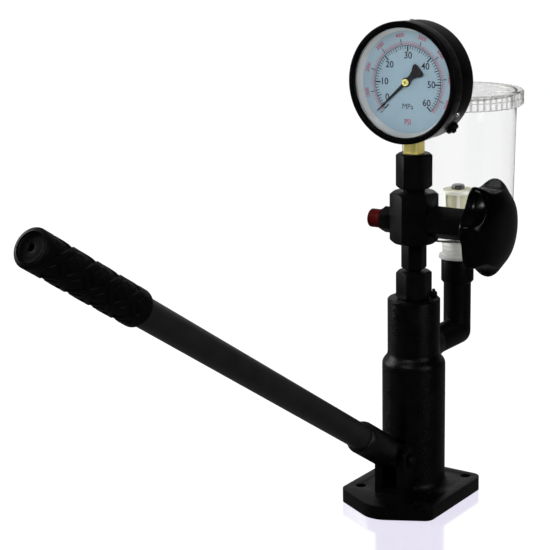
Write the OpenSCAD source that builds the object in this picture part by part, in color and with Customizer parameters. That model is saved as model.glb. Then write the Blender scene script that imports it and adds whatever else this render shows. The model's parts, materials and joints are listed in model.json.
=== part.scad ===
// Hand-lever tester for diesel injector nozzles.
// Origin: underside of the base plate, on the axis of the pump column.
// +Z is up, the lever and the gauge face point to -Y, the hand wheel to +X, the oil cup stands at +Y.

/* [Base plate] */
// Width across the straight sides
base_w = 90; // [82:1:110]
// Distance from the column axis to the back edge
base_back = 45; // [42:1:60]
// Distance from the column axis to the front corners
base_front = 49; // [44:1:60]
// Distance from the column axis to the tip of the front edge
base_tip = 73; // [62:1:84]
// Thickness of the plate
base_t = 12; // [8:1:18]
// Radius of the plate's corners
base_corner_r = 9; // [4:1:14]
// Radius at the tip of the front edge
base_tip_r = 24; // [10:1:40]
// Diameter of the mounting holes
bolt_d = 9; // [6:0.5:11]
// Spacing of the mounting holes along X
bolt_dx = 66; // [62:1:70]
// Spacing of the mounting holes along Y
bolt_dy = 70; // [66:1:72]

/* [Column] */
// Diameter of the lower, thick part
col_d = 55; // [50:0.5:60]
// Diameter of the upper, thin part
neck_d = 45.5; // [40:0.5:48]
// Height at which the shoulder starts
shoulder_z = 121; // [112:1:126]
// Height of the sloping shoulder
shoulder_h = 11.4; // [8:0.1:14]
// Height of the column's top face
col_h = 180; // [172:1:195]
// Radius of the fillet between column and plate
foot_r = 7; // [3:0.5:8]

/* [Lever] */
// Distance from the column axis to the pivot
pivot_y = 30; // [29:0.5:34]
// Height of the pivot above the bench
pivot_z = 43; // [40:1:50]
// Diameter of the pivot pin
pin_d = 10; // [7:0.5:12]
// Width over both clevis ears
ear_w = 29; // [24:0.5:36]
// Radius of the ears about the pin
ear_r = 12; // [10:0.5:14]
// Thickness of the lever's tongue between the ears
tongue_w = 14; // [8:0.5:16]
// Radius of the pivot eye
eye_r = 10.5; // [8:0.5:11.5]
// Radius of the nose that lifts the tappet
nose_r = 7; // [5:0.5:8]
// Lever's angle above the bench when it is up
lever_angle = 31.9; // [26:0.1:36]
// Angle that the lever sweeps on one stroke
stroke_angle = 33; // [20:1:34]
// Diameter of the lever head's collar
collar_d = 28; // [26:0.5:34]
// Distance from pivot to the start of the collar
collar_start = 28; // [24:1:34]
// Distance from pivot to the collar's front face
collar_end = 69; // [60:1:80]
// Depth of the tube's socket in the collar
socket_depth = 29; // [18:1:34]
// Outer diameter of the lever tube
tube_d = 22; // [18:0.5:24]
// Wall of the lever tube
tube_wall = 2; // [1:0.5:4]
// Distance from pivot to the start of the grip
grip_start = 396; // [300:1:440]
// Length of the grip
grip_len = 124; // [100:1:150]
// Diameter of the grip over its end bands
grip_d = 28; // [26:0.5:34]
// Depth of the moulded waist between the end bands
grip_relief = 0.8; // [0.4:0.1:1.4]
// Length of each plain end band
grip_band = 11; // [6:0.5:16]
// Thickness of the grip's closed end
grip_end_t = 8; // [4:0.5:14]
// Diameter of the vent hole in the grip's end
grip_hole_d = 4.4; // [2:0.2:6]

/* [Pump element] */
// Diameter of the tappet
tappet_d = 26; // [23:0.5:28]
// Height of the tappet
tappet_h = 20; // [14:1:24]
// Thickness of the tappet's floor
tappet_floor = 6; // [4:0.5:8]
// Diameter of the plunger
plunger_d = 9; // [6:0.5:10]
// Diameter of the plunger's foot
plunger_foot_d = 14; // [11:0.5:15]
// Height of the plunger's foot
plunger_foot_h = 3; // [2:0.5:5]
// Height of the spring chamber's ceiling
ceiling_z = 100; // [94:1:106]
// Thickness of the ledge that carries the barrel
ledge_t = 3; // [2:0.5:5]
// Outer diameter of the barrel
barrel_d = 20; // [17:0.5:23]
// Wire of the plunger spring
spring_wire = 2.2; // [1.4:0.1:2.6]
// Mean diameter of the plunger spring
spring_d = 18.6; // [17.8:0.1:19.4]
// Turns of the plunger spring
spring_turns = 7; // [5:1:9]

/* [Delivery union and valve block] */
// Across flats of the delivery union
union_af = 27; // [25:1:30]
// Angle at which the delivery union and the nipple come tight
union_turn = 6; // [-30:1:30]
// Height of the delivery union's hexagon
union_h = 24; // [18:1:30]
// Diameter of the union's screwed shank
union_shank_d = 24; // [21.5:0.5:27]
// Length of the union's screwed shank
union_shank_l = 20; // [16:1:24]
// Bare neck between union and nipple hexagon
nipple_gap = 2; // [1:0.5:5]
// Diameter of the nipple's neck
nipple_d = 12.6; // [11:0.2:15]
// Length of the nipple's neck inside the union
nipple_in = 16; // [10:1:17]
// Across flats of the nipple hexagon
nipple_af = 19; // [17:1:24]
// Height of the nipple hexagon
nipple_h = 23; // [16:1:30]
// Diameter of the screwed spigots in the block
spigot_d = 14; // [11:0.5:16]
// Length of the screwed spigots in the block
spigot_l = 13; // [8:1:14]
// Across flats of the valve block
block_af = 36; // [34:1:44]
// Height of the valve block
block_h = 44; // [40:1:52]
// Diameter of the oil galleries
gallery_d = 4; // [2:0.5:5]
// Wire of the delivery valve's spring
valve_wire = 0.9; // [0.6:0.1:1.1]
// Turns of the delivery valve's spring
valve_turns = 5; // [3:1:6]

/* [Gauge] */
// Across flats of the gauge adaptor
adaptor_af = 27; // [24:1:32]
// Angle at which the gauge adaptor comes tight
adaptor_turn = -4; // [-30:1:30]
// Height of the gauge adaptor's hexagon
adaptor_h = 29.7; // [24:0.1:36]
// Bare neck between block and gauge adaptor
adaptor_gap = 3.3; // [2:0.1:6]
// Diameter of the gauge adaptor's neck
adaptor_neck_d = 18.5; // [16:0.5:22]
// Width of the square brass shank
shank_w = 14; // [12:0.5:16]
// Bare height of the square shank
shank_h = 11; // [8:0.5:18]
// Outer diameter of the gauge case
case_d = 100; // [96:1:104]
// Depth of the case from its back to its front edge
case_depth = 29.9; // [28:0.1:34]
// Wall of the case
case_wall = 1.5; // [1:0.1:2]
// Distance from the stem axis to the back of the case
case_back = 13.4; // [12:0.1:16]
// Wall of the bezel's skirt round the case
bezel_wall = 1; // [0.6:0.1:3]
// Width of the bezel's front lip
bezel_lip = 5.5; // [3:0.5:7]
// Thickness of the bezel's front lip
bezel_t = 2.9; // [2:0.1:4]
// Depth of the bezel's skirt
bezel_depth = 13.4; // [10:0.1:16]
// Thickness of the glass
glass_t = 2.8; // [2:0.1:3.4]
// Depth of the dial below the glass
dial_gap = 5.2; // [4.8:0.1:6]
// Width of the sloping ring round the dial
dial_ring_w = 2.8; // [1.5:0.1:3.2]
// Length of the pointer from hub to tip
pointer_l = 39; // [30:1:42]
// Length of the pointer's counterweight
pointer_tail = 20; // [12:1:24]
// Tooth size of the movement
gear_module = 0.6; // [0.5:0.05:0.65]
// Teeth on the pointer's pinion
pinion_teeth = 10; // [10:2:12]
// Teeth of a full wheel of the sector's radius
sector_teeth = 80; // [76:4:80]
// Angle that the pointer sweeps
pointer_sweep = 270; // [240:1:270]
// Mean radius of the bourdon tube
bourdon_r = 35; // [33:0.5:37]

/* [Shut-off valve] */
// Height of the valve axis above the block's underside
valve_up = 19.6; // [19:0.1:22]
// Across flats of the gland
gland_af = 24; // [22:1:26]
// Length of the gland's hexagon
gland_l = 38; // [30:1:46]
// Diameter of the gland's screwed shank
gland_shank_d = 16; // [13:0.5:18]
// Diameter of the spindle
spindle_d = 8; // [6:0.5:9]
// Diameter of the valve ball
ball_d = 6; // [5:0.5:7]
// Bare spindle between gland and wheel
wheel_gap = 2.5; // [2.5:0.5:5]
// Diameter of the wheel over its lobes
wheel_d = 80; // [74:1:90]
// Thickness of the wheel at its rim
wheel_rim = 15.5; // [12:0.5:20]
// Height of the wheel's domed face
wheel_dome = 9; // [6:0.5:16]
// Length of the wheel's hub behind its rim
wheel_hub_l = 4; // [2:0.5:8]
// Diameter of the wheel's hub
wheel_hub_d = 24; // [18:1:30]
// Depth of the hollow in the wheel's back
wheel_hollow = 6; // [3:0.5:8]
// Number of lobes round the wheel
wheel_lobes = 7; // [5:1:8]
// Width of each lobe's crest
lobe_crest = 2.4; // [1.5:0.1:4]
// Depth of the finger grip between two lobes
finger_depth = 2.6; // [1:0.1:5]
// Moulding draft of the finger grips
finger_draft = 3; // [1:0.5:6]
// Angle of the first lobe when the valve is shut
lobe_turn = 7; // [0:1:60]

/* [Outlet] */
// Height of the outlet axis above the block's underside
outlet_up = 17; // [15:0.5:22]
// Across flats of the outlet union
outlet_af = 20; // [18:1:22]
// Length of the outlet union's hexagon
outlet_l = 11.5; // [8:0.5:16]
// Diameter of the outlet's thread
outlet_d = 12; // [10:0.5:13]
// Length of the outlet's thread
outlet_thread_l = 11; // [8:0.5:16]
// Wall of the outlet cap
cap_wall = 2; // [1.2:0.1:3]
// Width of the rim at the cap's mouth
cap_rim = 0.9; // [0.4:0.1:1.2]

/* [Feed pipe and cup] */
// Distance from the column axis to the cup axis
cup_y = 78; // [76:1:90]
// Height of the feed pipe's lower run
feed_z = 132; // [130:1:140]
// Diameter of the feed pipe
pipe_d = 24.6; // [20:0.2:26]
// Bore of the feed pipe
pipe_bore = 12; // [8:0.5:14]
// Distance from the column axis to the feed boss's face
boss_y = 34; // [32:1:40]
// Diameter of the cup socket
socket_d = 29.2; // [28:0.2:34]
// Height at which the cup socket starts
socket_z = 177; // [168:1:184]
// Height of the cup socket's rim
socket_top = 200; // [194:1:206]
// Diameter of the washer under the cup
washer_d = 33.8; // [32:0.2:38]
// Thickness of the washer under the cup
washer_t = 2.8; // [1.5:0.1:4]
// Diameter of the cup's neck
cup_neck_d = 27.8; // [26:0.2:31]
// Length of the cup's neck
cup_neck_h = 16; // [12:1:22]
// Diameter of the cup's screwed spigot
cup_spigot_d = 21.8; // [19:0.2:23]
// Outer diameter of the cup at its rim
cup_d = 101.4; // [90:0.2:106]
// Outer diameter of the cup above its floor
cup_foot_d = 97; // [88:0.2:100]
// Height of the cup from its floor to its rim
cup_h = 128; // [110:1:140]
// Wall of the cup
cup_wall = 2.5; // [1.5:0.1:4]
// Radius of the cup's lower edge
cup_edge_r = 9; // [6:0.5:14]
// Diameter of the filter
filter_d = 26.6; // [22:0.2:30]
// Height of the filter
filter_h = 41; // [30:1:60]
// Diameter of the filter's top plate
filter_top_d = 29.8; // [26:0.2:34]
// Across flats of the screw on the filter
filter_screw_af = 10; // [8:0.5:13]
// Height of the screw's head
filter_screw_h = 4.2; // [3:0.2:6]

/* [Lid] */
// Diameter of the lid over its ribs
lid_d = 113.4; // [110:0.2:120]
// Height of the lid's skirt
lid_skirt = 14; // [10:0.5:20]
// Thickness of the lid's top
lid_t = 4; // [2:0.5:6]
// Rise of the lid's dome
lid_dome = 3.5; // [1:0.5:6]
// Number of grip ribs round the lid
lid_ribs = 60; // [36:4:72]
// Height of the grip ribs
lid_rib_h = 1.2; // [0.6:0.1:2]

/* [Fits] */
// Radial gap of a shaft that turns or slides in its bore
run_gap = 0.05; // [0.02:0.01:0.08]
// Radial gap of pieces that are screwed or pushed together
fit_gap = 0.05; // [0.03:0.01:0.1]
// Gap between faces that only meet in use
touch_gap = 0.3; // [0.2:0.05:0.4]

/* [Hidden] */
$fn = 64;
overcut = 1;
arc_steps = 8;

// Colours
cast_black = "#1b1b1c";
paint_black = "#141415";
tube_black = "#262728";
rubber_black = "#101010";
plastic_black = "#18181a";
steel = "#b9bcc0";
brass = "#c9a24a";
dial_blue = "#bcd2da";
clear = [0.85, 0.92, 0.94, 0.35];
white = "#e6e6da";
red = "#b3182a";

// Heights that follow from the stack of pieces
barrel_z = ceiling_z + ledge_t;
barrel_top = col_h - union_shank_l;
nipple_z = col_h + union_h + nipple_gap;
block_z = nipple_z + nipple_h;
block_top = block_z + block_h;
adaptor_z = block_top + adaptor_gap;
shank_z = adaptor_z + adaptor_h;
gauge_z = shank_z + shank_h + case_d / 2;
valve_z = block_z + valve_up;
outlet_z = block_z + outlet_up;
cup_neck_z = socket_top + washer_t;
cup_floor_z = cup_neck_z + cup_neck_h;
cup_rim_z = cup_floor_z + cup_h;
lid_seal_t = 1;

// Lever and pump element
pin_r = pin_d / 2;
slot_w = tongue_w + 2 * touch_gap;
nose_angle = -stroke_angle / 2;
nose_y = -pivot_y + pivot_y * cos(nose_angle);
nose_z = pivot_z + pivot_y * sin(nose_angle);
stroke = 2 * pivot_y * sin(stroke_angle / 2);
tappet_z = nose_z + nose_r + touch_gap;
seat_z = tappet_z + tappet_floor;
chamber_r = tappet_d / 2 + run_gap;
plunger_top = feed_z - gallery_d;
tube_start = collar_end - socket_depth;
grip_end = grip_start + grip_len;
spring_r = spring_wire / 2;
clip_t = 1.2;
clip_w = 2.5;
clip_r = min(pin_r + clip_w,
    pivot_y - sqrt(pow(col_d / 2, 2) - pow(ear_w / 2 + touch_gap, 2)) - 2 * touch_gap);
pin_edge = 0.8;
pin_l = ear_w + 2 * (clip_t + touch_gap + 1.5);

// Vent screw on the column's top and feed boss on its back
vent_pos = [12.5, 12.5];
vent_d = 5;
vent_l = 8;
feed_spigot_d = 17;
feed_spigot_l = 9;
boss_wall = 1;

// Delivery valve
valve_seat_z = barrel_top + 7;
valve_chamber_r = 4.6;
valve_body_r = valve_chamber_r - touch_gap;
valve_stem_r = 2;
valve_shoulder = 3;
valve_collar = 3;
valve_spring_d = valve_stem_r + valve_body_r;
nipple_end = col_h + union_h - nipple_in;

// Gauge, measured forwards from the stem axis
case_r = case_d / 2;
case_front = case_depth - case_back;
glass_front = case_front + glass_t;
bezel_front = glass_front + bezel_t + touch_gap;
dial_t = 1;
dial_front = case_front - dial_gap;
dial_back = dial_front - dial_t;
dial_r = case_r - case_wall - touch_gap;
pinion_r = gear_module * pinion_teeth / 2;
sector_r = gear_module * sector_teeth / 2;
sector_drop = pinion_r + sector_r;
sector_sweep = pointer_sweep * pinion_teeth / sector_teeth;
stem_block_w = 12;
stem_block_front = 1;
stem_block_back = 7;
plate_t = 1.2;
rear_plate = stem_block_front;
layer_gap = 0.4;
link_back = rear_plate + plate_t + layer_gap;
link_t = 0.9;
gear_back = link_back + link_t + layer_gap;
gear_t = 1.5;
front_plate = gear_back + gear_t + 2 * layer_gap;
arbor_r = 1;
sector_tail = 10;
sector_tail_angle = 200;
bourdon_start = 282;
bourdon_sweep = 293;
bourdon_t = 4;
bourdon_w = 7;
link_r = 1.6;
link_pin_r = 0.7;
tail_pos = [sector_tail * cos(sector_tail_angle), -sector_drop + sector_tail * sin(sector_tail_angle)];
bourdon_inset = 3;
bourdon_end = bourdon_start + bourdon_sweep - 360 - bourdon_inset;
bourdon_tip = bourdon_r * [cos(bourdon_end), sin(bourdon_end)];
bourdon_front = stem_block_front - layer_gap;

// Pointer, and the plug and screws in the case's side
pointer_zero = 225;
pointer_back = dial_front + 1.2;
pointer_t = 0.5;
hub_r = 4;
plug_angle = -49;
plug_y = 5;
plug_neck_r = 4;
plug_head_r = 6;
plug_head_h = 3.2;
screw_angles = [90, 210, 330];
screw_front = 5;
screw_neck_r = 1.4;
screw_head_r = 2.6;
screw_head_h = 1.4;

// Valve and outlet, measured from the block's axis
block_face = block_af / 2;
cross_drill_d = gallery_d - 1;
valve_seat_x = 3;
ball_x = valve_seat_x + sqrt(pow(ball_d / 2, 2) - pow(cross_drill_d / 2, 2)) + touch_gap / 3;
ball_chamber_r = ball_d / 2 + 1.5;
gland_in_x = ball_x + ball_d / 2 + touch_gap;
gland_end = block_face + gland_l;
wheel_back = gland_end + wheel_gap;
wheel_rim_back = wheel_back + wheel_hub_l;
wheel_rim_end = wheel_rim_back + wheel_rim;
wheel_r = wheel_d / 2;
dome_r = (pow(wheel_r, 2) + pow(wheel_dome, 2)) / (2 * wheel_dome);
lobe_half = 180 / wheel_lobes - asin(lobe_crest / wheel_d);
finger_chord = wheel_r * sin(lobe_half);
finger_r = (pow(finger_chord, 2) + pow(finger_depth, 2)) / (2 * finger_depth);
finger_in = wheel_r * cos(lobe_half) - finger_depth;
packing_r = spindle_d / 2 + 2.5;
packing_l = 9;
spindle_depth = wheel_rim;
outlet_in = 9;
outlet_face = block_face + outlet_l;
cap_r = outlet_d / 2 + fit_gap + cap_wall;

// Cup
cup_r = cup_d / 2;
cup_foot_r = cup_foot_d / 2;
cup_bore_r = pipe_bore / 2;
cup_spigot_l = 14;
filter_z = cup_floor_z + cup_wall;
filter_top_z = filter_z + filter_h;
filter_foot_r = filter_d / 2 + 1.2;
filter_screw_r = 2.5;
filter_screw_l = 16;
lid_z = cup_rim_z + lid_seal_t;
lid_r = lid_d / 2;
lid_bore_r = cup_r + 2 * touch_gap;

// Points along an arc
function arc(c, r, from, to, steps = arc_steps) =
    [for (i = [0 : steps]) let (a = from + (to - from) * i / steps) [c[0] + r * cos(a), c[1] + r * sin(a)]];

// Unit vector from one point to another
function heading(a, b) = (b - a) / norm(b - a);

// Corner of an outline turned into an arc that is tangent to both sides
function round_corner(a, p, b, r) =
    let (u = heading(p, a), v = heading(p, b))
    let (half = acos(u * v) / 2, reach = r / tan(half))
    let (c = p + (u + v) / norm(u + v) * r / sin(half))
    let (s = p + u * reach - c, e = p + v * reach - c)
    let (from = atan2(s[1], s[0]), turn = atan2(e[1], e[0]) - from)
    let (swing = turn > 180 ? turn - 360 : turn < -180 ? turn + 360 : turn)
    arc(c, r, from, from + swing);

// Outline with every corner rounded by its own radius
function rounded(pts, radii) =
    let (n = len(pts))
    [for (i = [0 : n - 1]) each round_corner(pts[(i + n - 1) % n], pts[i], pts[(i + 1) % n], radii[i])];

// Hexagon bar with flats facing X and chamfered ends
module hex_bar(af, h, low = true, high = true) {
    r = af / 2 / cos(30);
    c = (r - af / 2) * tan(30);
    face = af / 2 - 0.4;
    intersection() {
        rotate([0, 0, 30]) cylinder(r = r, h = h, $fn = 6);
        rotate_extrude() polygon([[0, 0], [low ? face : r, 0], [r, low ? c * 1.5 : 0],
            [r, high ? h - c * 1.5 : h], [high ? face : r, h], [0, h]]);
    }
}

// Flat ring
module ring(outer, inner, h) {
    difference() {
        cylinder(r = outer, h = h);
        translate([0, 0, -overcut]) cylinder(r = inner, h = h + 2 * overcut);
    }
}

// Outline drawn in the Y-Z plane and given a width along X, centred
module along_x(w) {
    translate([-w / 2, 0, 0]) rotate([90, 0, 90]) linear_extrude(w) children();
}

// Outline of two round ends with straight sides between them
function strut_points(p, rp, q, rq) =
    let (to = atan2(q[1] - p[1], q[0] - p[0]), lean = acos((rp - rq) / norm(q - p)))
    concat(arc(q, rq, to - lean, to + lean, 2 * arc_steps),
        arc(p, rp, to + lean, to + 360 - lean, 2 * arc_steps));
module strut(p, rp, q, rq) {
    polygon(strut_points(p, rp, q, rq));
}

// Places: Z runs along the lever, out of the dial, along the valve and along the outlet
module at_lever() {
    translate([0, -pivot_y, pivot_z]) rotate([90 - lever_angle, 0, 0]) children();
}
module at_gauge() {
    translate([0, 0, gauge_z]) rotate([90, 0, 0]) children();
}
module at_valve() {
    translate([0, 0, valve_z]) rotate([0, 90, 0]) children();
}
module at_outlet() {
    translate([0, 0, outlet_z]) rotate([0, -90, 0]) children();
}
module at_cup() {
    translate([0, cup_y, 0]) children();
}

// Spring wire as one tube of six sides wound round Z
function helix(r, z0, z1, turns) =
    [for (i = [0 : turns * arc_steps]) let (a = 360 * i / arc_steps)
        [r * cos(a), r * sin(a), z0 + (z1 - z0) * i / (turns * arc_steps)]];
function least_gap(path, wire) =
    min([for (i = [0 : len(path) - 1 - arc_steps / 2]) for (j = [i + arc_steps / 2 : len(path) - 1])
        norm(path[i] - path[j])]) - wire;
module coil(r, wire, z0, z1, turns) {
    sides = 6;
    path = helix(r, z0 + wire / 2, z1 - wire / 2, turns);
    rings = len(path);
    echo(str("least gap between the curls, wire ", wire, " mm: ", least_gap(path, wire), " mm"));
    points = [for (i = [0 : rings - 1]) for (k = [0 : sides - 1])
        let (a = 360 * i / arc_steps, b = 360 * k / sides, out = wire / 2 * cos(b))
        [path[i][0] + out * cos(a), path[i][1] + out * sin(a), path[i][2] + wire / 2 * sin(b)]];
    low_cap = [for (k = [1 : sides - 2]) [0, k, k + 1]];
    top = (rings - 1) * sides;
    high_cap = [for (k = [1 : sides - 2]) [top, top + k + 1, top + k]];
    walls = [for (i = [0 : rings - 2]) for (k = [0 : sides - 1])
        let (p = i * sides + k, q = i * sides + (k + 1) % sides)
        each [[p, p + sides, q], [q, p + sides, q + sides]]];
    polyhedron(points = points, faces = concat(low_cap, high_cap, walls));
}

// Base plate outline, with a blunt point under the lever
module base_outline() {
    x = base_w / 2;
    polygon(rounded([[x, base_back], [-x, base_back], [-x, -base_front], [0, -base_tip], [x, -base_front]],
        [base_corner_r, base_corner_r, base_corner_r, base_tip_r, base_corner_r]));
}

// Half section of the column: foot fillet, thick part, shoulder, thin part
module column_section() {
    r = col_d / 2;
    n = neck_d / 2;
    sink = 0.5;
    step = r - n;
    turn = 2 * atan(step / shoulder_h);
    sweep_r = step / (2 * (1 - cos(turn)));
    top_edge = 1.2;
    polygon(concat([[0, base_t / 3], [r, base_t / 3], [r + foot_r, base_t - sink]],
        arc([r + foot_r, base_t - sink + foot_r], foot_r, 270, 180, 5),
        arc([r - sweep_r, shoulder_z], sweep_r, 0, turn, 5),
        arc([n + sweep_r, shoulder_z + shoulder_h], sweep_r, 180 + turn * 0.8, 180, 4),
        [[n, col_h - top_edge], [n - top_edge, col_h], [0, col_h]]));
}

// Side view of the clevis: a wall that grows out of the column and ends in a round ear
module clevis_outline() {
    low = base_t / 2;
    polygon(concat([[0, low], [0, pivot_z + ear_r]], arc([-pivot_y, pivot_z], ear_r, 90, 180, 2 * arc_steps),
        [[-pivot_y - ear_r, low]]));
}

module pump_body() {
    slot_low = base_t + 6;
    window_low = nose_z - nose_r - 4;
    window_high = pivot_z + eye_r + 6;
    color(cast_black) difference() {
        union() {
            linear_extrude(base_t) base_outline();
            rotate_extrude() column_section();
            along_x(ear_w) clevis_outline();
            translate([0, 0, feed_z]) rotate([-90, 0, 0]) linear_extrude(boss_y)
                polygon(arc([0, 0], pipe_d / 2 + boss_wall, 7.5, 352.5, 23));
        }
        for (x = [-1, 1], y = [-1, 1])
            translate([x * bolt_dx / 2, y * bolt_dy / 2, -overcut])
                cylinder(d = bolt_d, h = base_t + 2 * overcut);
        translate([0, 0, -overcut]) cylinder(r = chamber_r, h = ceiling_z + overcut);
        translate([0, 0, ceiling_z - overcut]) cylinder(d = plunger_d + 4, h = ledge_t + 2 * overcut);
        translate([0, 0, barrel_z]) cylinder(d = barrel_d + 2 * fit_gap, h = col_h);
        translate([0, 0, barrel_top]) cylinder(d = union_shank_d + 2 * fit_gap, h = union_shank_l + overcut);
        translate([-slot_w / 2, -pivot_y - 2 * ear_r, slot_low])
            cube([slot_w, pivot_y + 2 * ear_r - col_d / 2 + 3, pivot_z + ear_r - slot_low + overcut]);
        translate([-slot_w / 2, -pivot_y - ear_r, window_low])
            cube([slot_w, pivot_y + ear_r, window_high - window_low]);
        translate([0, -pivot_y, pivot_z]) rotate([0, 90, 0])
            cylinder(r = pin_r + run_gap, h = ear_w + 2 * overcut, center = true);
        translate([0, 0, feed_z]) rotate([-90, 0, 0]) {
            cylinder(d = gallery_d, h = boss_y + overcut);
            translate([0, 0, boss_y - feed_spigot_l])
                cylinder(d = feed_spigot_d + 2 * fit_gap, h = feed_spigot_l + overcut);
        }
        translate([vent_pos[0], vent_pos[1], col_h - vent_l])
            cylinder(d = vent_d + 2 * fit_gap, h = vent_l + overcut);
    }
}

module pivot_pin() {
    color(steel) translate([-pin_l / 2, -pivot_y, pivot_z]) rotate([0, 90, 0])
        rotate_extrude() polygon([[0, 0], [pin_r - pin_edge, 0], [pin_r, pin_edge],
            [pin_r, pin_l - pin_edge], [pin_r - pin_edge, pin_l], [0, pin_l]]);
}

module pivot_clips() {
    color(steel) for (side = [-1, 1])
        translate([side * (ear_w / 2 + touch_gap + clip_t / 2), -pivot_y, pivot_z]) rotate([0, 90, 0])
            translate([0, 0, -clip_t / 2]) ring(clip_r, pin_r + fit_gap, clip_t);
}

module lever_head() {
    pivot = [-pivot_y, pivot_z];
    nose = [nose_y, nose_z];
    out = [-cos(lever_angle), sin(lever_angle)];
    drop = [sin(nose_angle), -cos(nose_angle)];
    r = collar_d / 2;
    root = tongue_w / 2 + 1.5;
    root_l = 14;
    edge = 2.5;
    arm_root = eye_r - 4.5;
    arm_tip = nose_r - 3;
    arm_drop = nose_r / 2;
    color(paint_black) difference() {
        union() {
            along_x(tongue_w) {
                strut(pivot + drop * arm_drop, arm_root, nose + drop * arm_drop / 2, arm_tip);
                translate(nose) circle(nose_r);
                strut(pivot, eye_r, pivot + out * collar_start, eye_r - 1);
            }
            at_lever() rotate_extrude() polygon(concat(
                [[0, collar_start - root_l], [root, collar_start - root_l]],
                arc([r - 2 * edge, collar_start], 2 * edge, -50, 0, 4),
                arc([r - edge, collar_end - edge], edge, 0, 90, 4), [[0, collar_end]]));
        }
        at_lever() translate([0, 0, tube_start])
            cylinder(d = tube_d + 2 * fit_gap, h = socket_depth + overcut);
        translate([0, -pivot_y, pivot_z]) rotate([0, 90, 0])
            cylinder(r = pin_r + run_gap, h = collar_d + 2 * overcut, center = true);
    }
}

module lever_tube() {
    color(tube_black) at_lever() translate([0, 0, tube_start])
        ring(tube_d / 2, tube_d / 2 - tube_wall, grip_end - grip_end_t - tube_start);
}

module lever_grip() {
    r = grip_d / 2;
    waist = r - grip_relief;
    edge = 3;
    color(rubber_black) at_lever() difference() {
        rotate_extrude() polygon(concat(
            [[0, grip_start]], arc([r - edge, grip_start + edge], edge, -90, 0),
            [[r, grip_start + grip_band], [waist, grip_start + grip_band + 1.5],
                [waist, grip_end - grip_band - 1.5], [r, grip_end - grip_band]],
            arc([r - edge, grip_end - edge], edge, 0, 90), [[0, grip_end]]));
        translate([0, 0, grip_start - overcut])
            cylinder(d = tube_d + 2 * fit_gap, h = grip_len - grip_end_t + overcut);
        translate([0, 0, grip_end - grip_end_t - overcut])
            cylinder(d = grip_hole_d, h = grip_end_t + 2 * overcut);
    }
}

module tappet() {
    r = tappet_d / 2;
    wall = 1.6;
    edge = 1;
    color(steel) translate([0, 0, tappet_z]) rotate_extrude()
        polygon([[0, 0], [r - edge, 0], [r, edge], [r, tappet_h], [r - wall, tappet_h],
            [r - wall, tappet_floor], [0, tappet_floor]]);
}

module plunger() {
    color(steel) {
        translate([0, 0, seat_z]) cylinder(d = plunger_foot_d, h = plunger_foot_h);
        translate([0, 0, seat_z + plunger_foot_h])
            cylinder(d = plunger_d, h = plunger_top - seat_z - plunger_foot_h);
    }
}

module plunger_spring() {
    rest = touch_gap / 3;
    color(steel) coil(spring_d / 2, spring_wire, seat_z + rest, ceiling_z - rest, spring_turns);
}

module pump_barrel() {
    color(steel) difference() {
        translate([0, 0, barrel_z]) cylinder(d = barrel_d, h = barrel_top - barrel_z);
        translate([0, 0, barrel_z - overcut])
            cylinder(d = plunger_d + 2 * run_gap, h = barrel_top - barrel_z + 2 * overcut);
        translate([0, 0, feed_z]) rotate([-90, 0, 0]) cylinder(d = gallery_d, h = barrel_d);
    }
}

module delivery_union() {
    seat_r = gallery_d / 2;
    color(paint_black) difference() {
        union() {
            translate([0, 0, barrel_top]) cylinder(d = union_shank_d, h = union_shank_l);
            translate([0, 0, col_h]) rotate([0, 0, union_turn]) hex_bar(union_af, union_h);
        }
        translate([0, 0, barrel_top - overcut]) cylinder(r = seat_r, h = union_shank_l);
        translate([0, 0, valve_seat_z]) rotate_extrude() polygon([[0, 0], [seat_r, 0],
            [valve_chamber_r, valve_shoulder], [valve_chamber_r, nipple_end - valve_seat_z + overcut],
            [0, nipple_end - valve_seat_z + overcut]]);
        translate([0, 0, nipple_end]) cylinder(d = nipple_d + 2 * fit_gap, h = nipple_in + overcut);
    }
}

module delivery_valve() {
    tip_r = gallery_d / 2 - touch_gap;
    collar = valve_shoulder + valve_collar;
    top = collar + 4;
    color(steel) translate([0, 0, valve_seat_z + touch_gap / 2]) rotate_extrude() polygon([[0, 0], [tip_r, 0],
        [valve_body_r, valve_shoulder], [valve_body_r, collar], [valve_stem_r, collar],
        [valve_stem_r, top], [0, top]]);
}

module delivery_spring() {
    low = valve_seat_z + valve_shoulder + valve_collar + touch_gap;
    color(steel) coil(valve_spring_d / 2, valve_wire, low, nipple_end - touch_gap / 3, valve_turns);
}

module delivery_nipple() {
    color(paint_black) difference() {
        union() {
            translate([0, 0, nipple_end]) cylinder(d = nipple_d, h = nipple_z - nipple_end + overcut);
            translate([0, 0, nipple_z]) rotate([0, 0, union_turn]) hex_bar(nipple_af, nipple_h);
            translate([0, 0, block_z - overcut]) cylinder(d = spigot_d, h = spigot_l + overcut);
        }
        translate([0, 0, nipple_end - overcut])
            cylinder(d = gallery_d, h = block_z + spigot_l - nipple_end + 2 * overcut);
    }
}

module vent_screw() {
    head_r = 3.1;
    head_h = 4.4;
    edge = 1;
    tip_r = 1.4;
    tip_h = 2;
    color(paint_black) translate([vent_pos[0], vent_pos[1], col_h]) {
        translate([0, 0, -vent_l + touch_gap]) cylinder(d = vent_d, h = vent_l);
        rotate_extrude() polygon([[0, 0], [head_r, 0], [head_r, head_h - edge], [head_r - edge, head_h],
            [tip_r, head_h], [tip_r, head_h + tip_h], [0, head_h + tip_h]]);
    }
}

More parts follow.
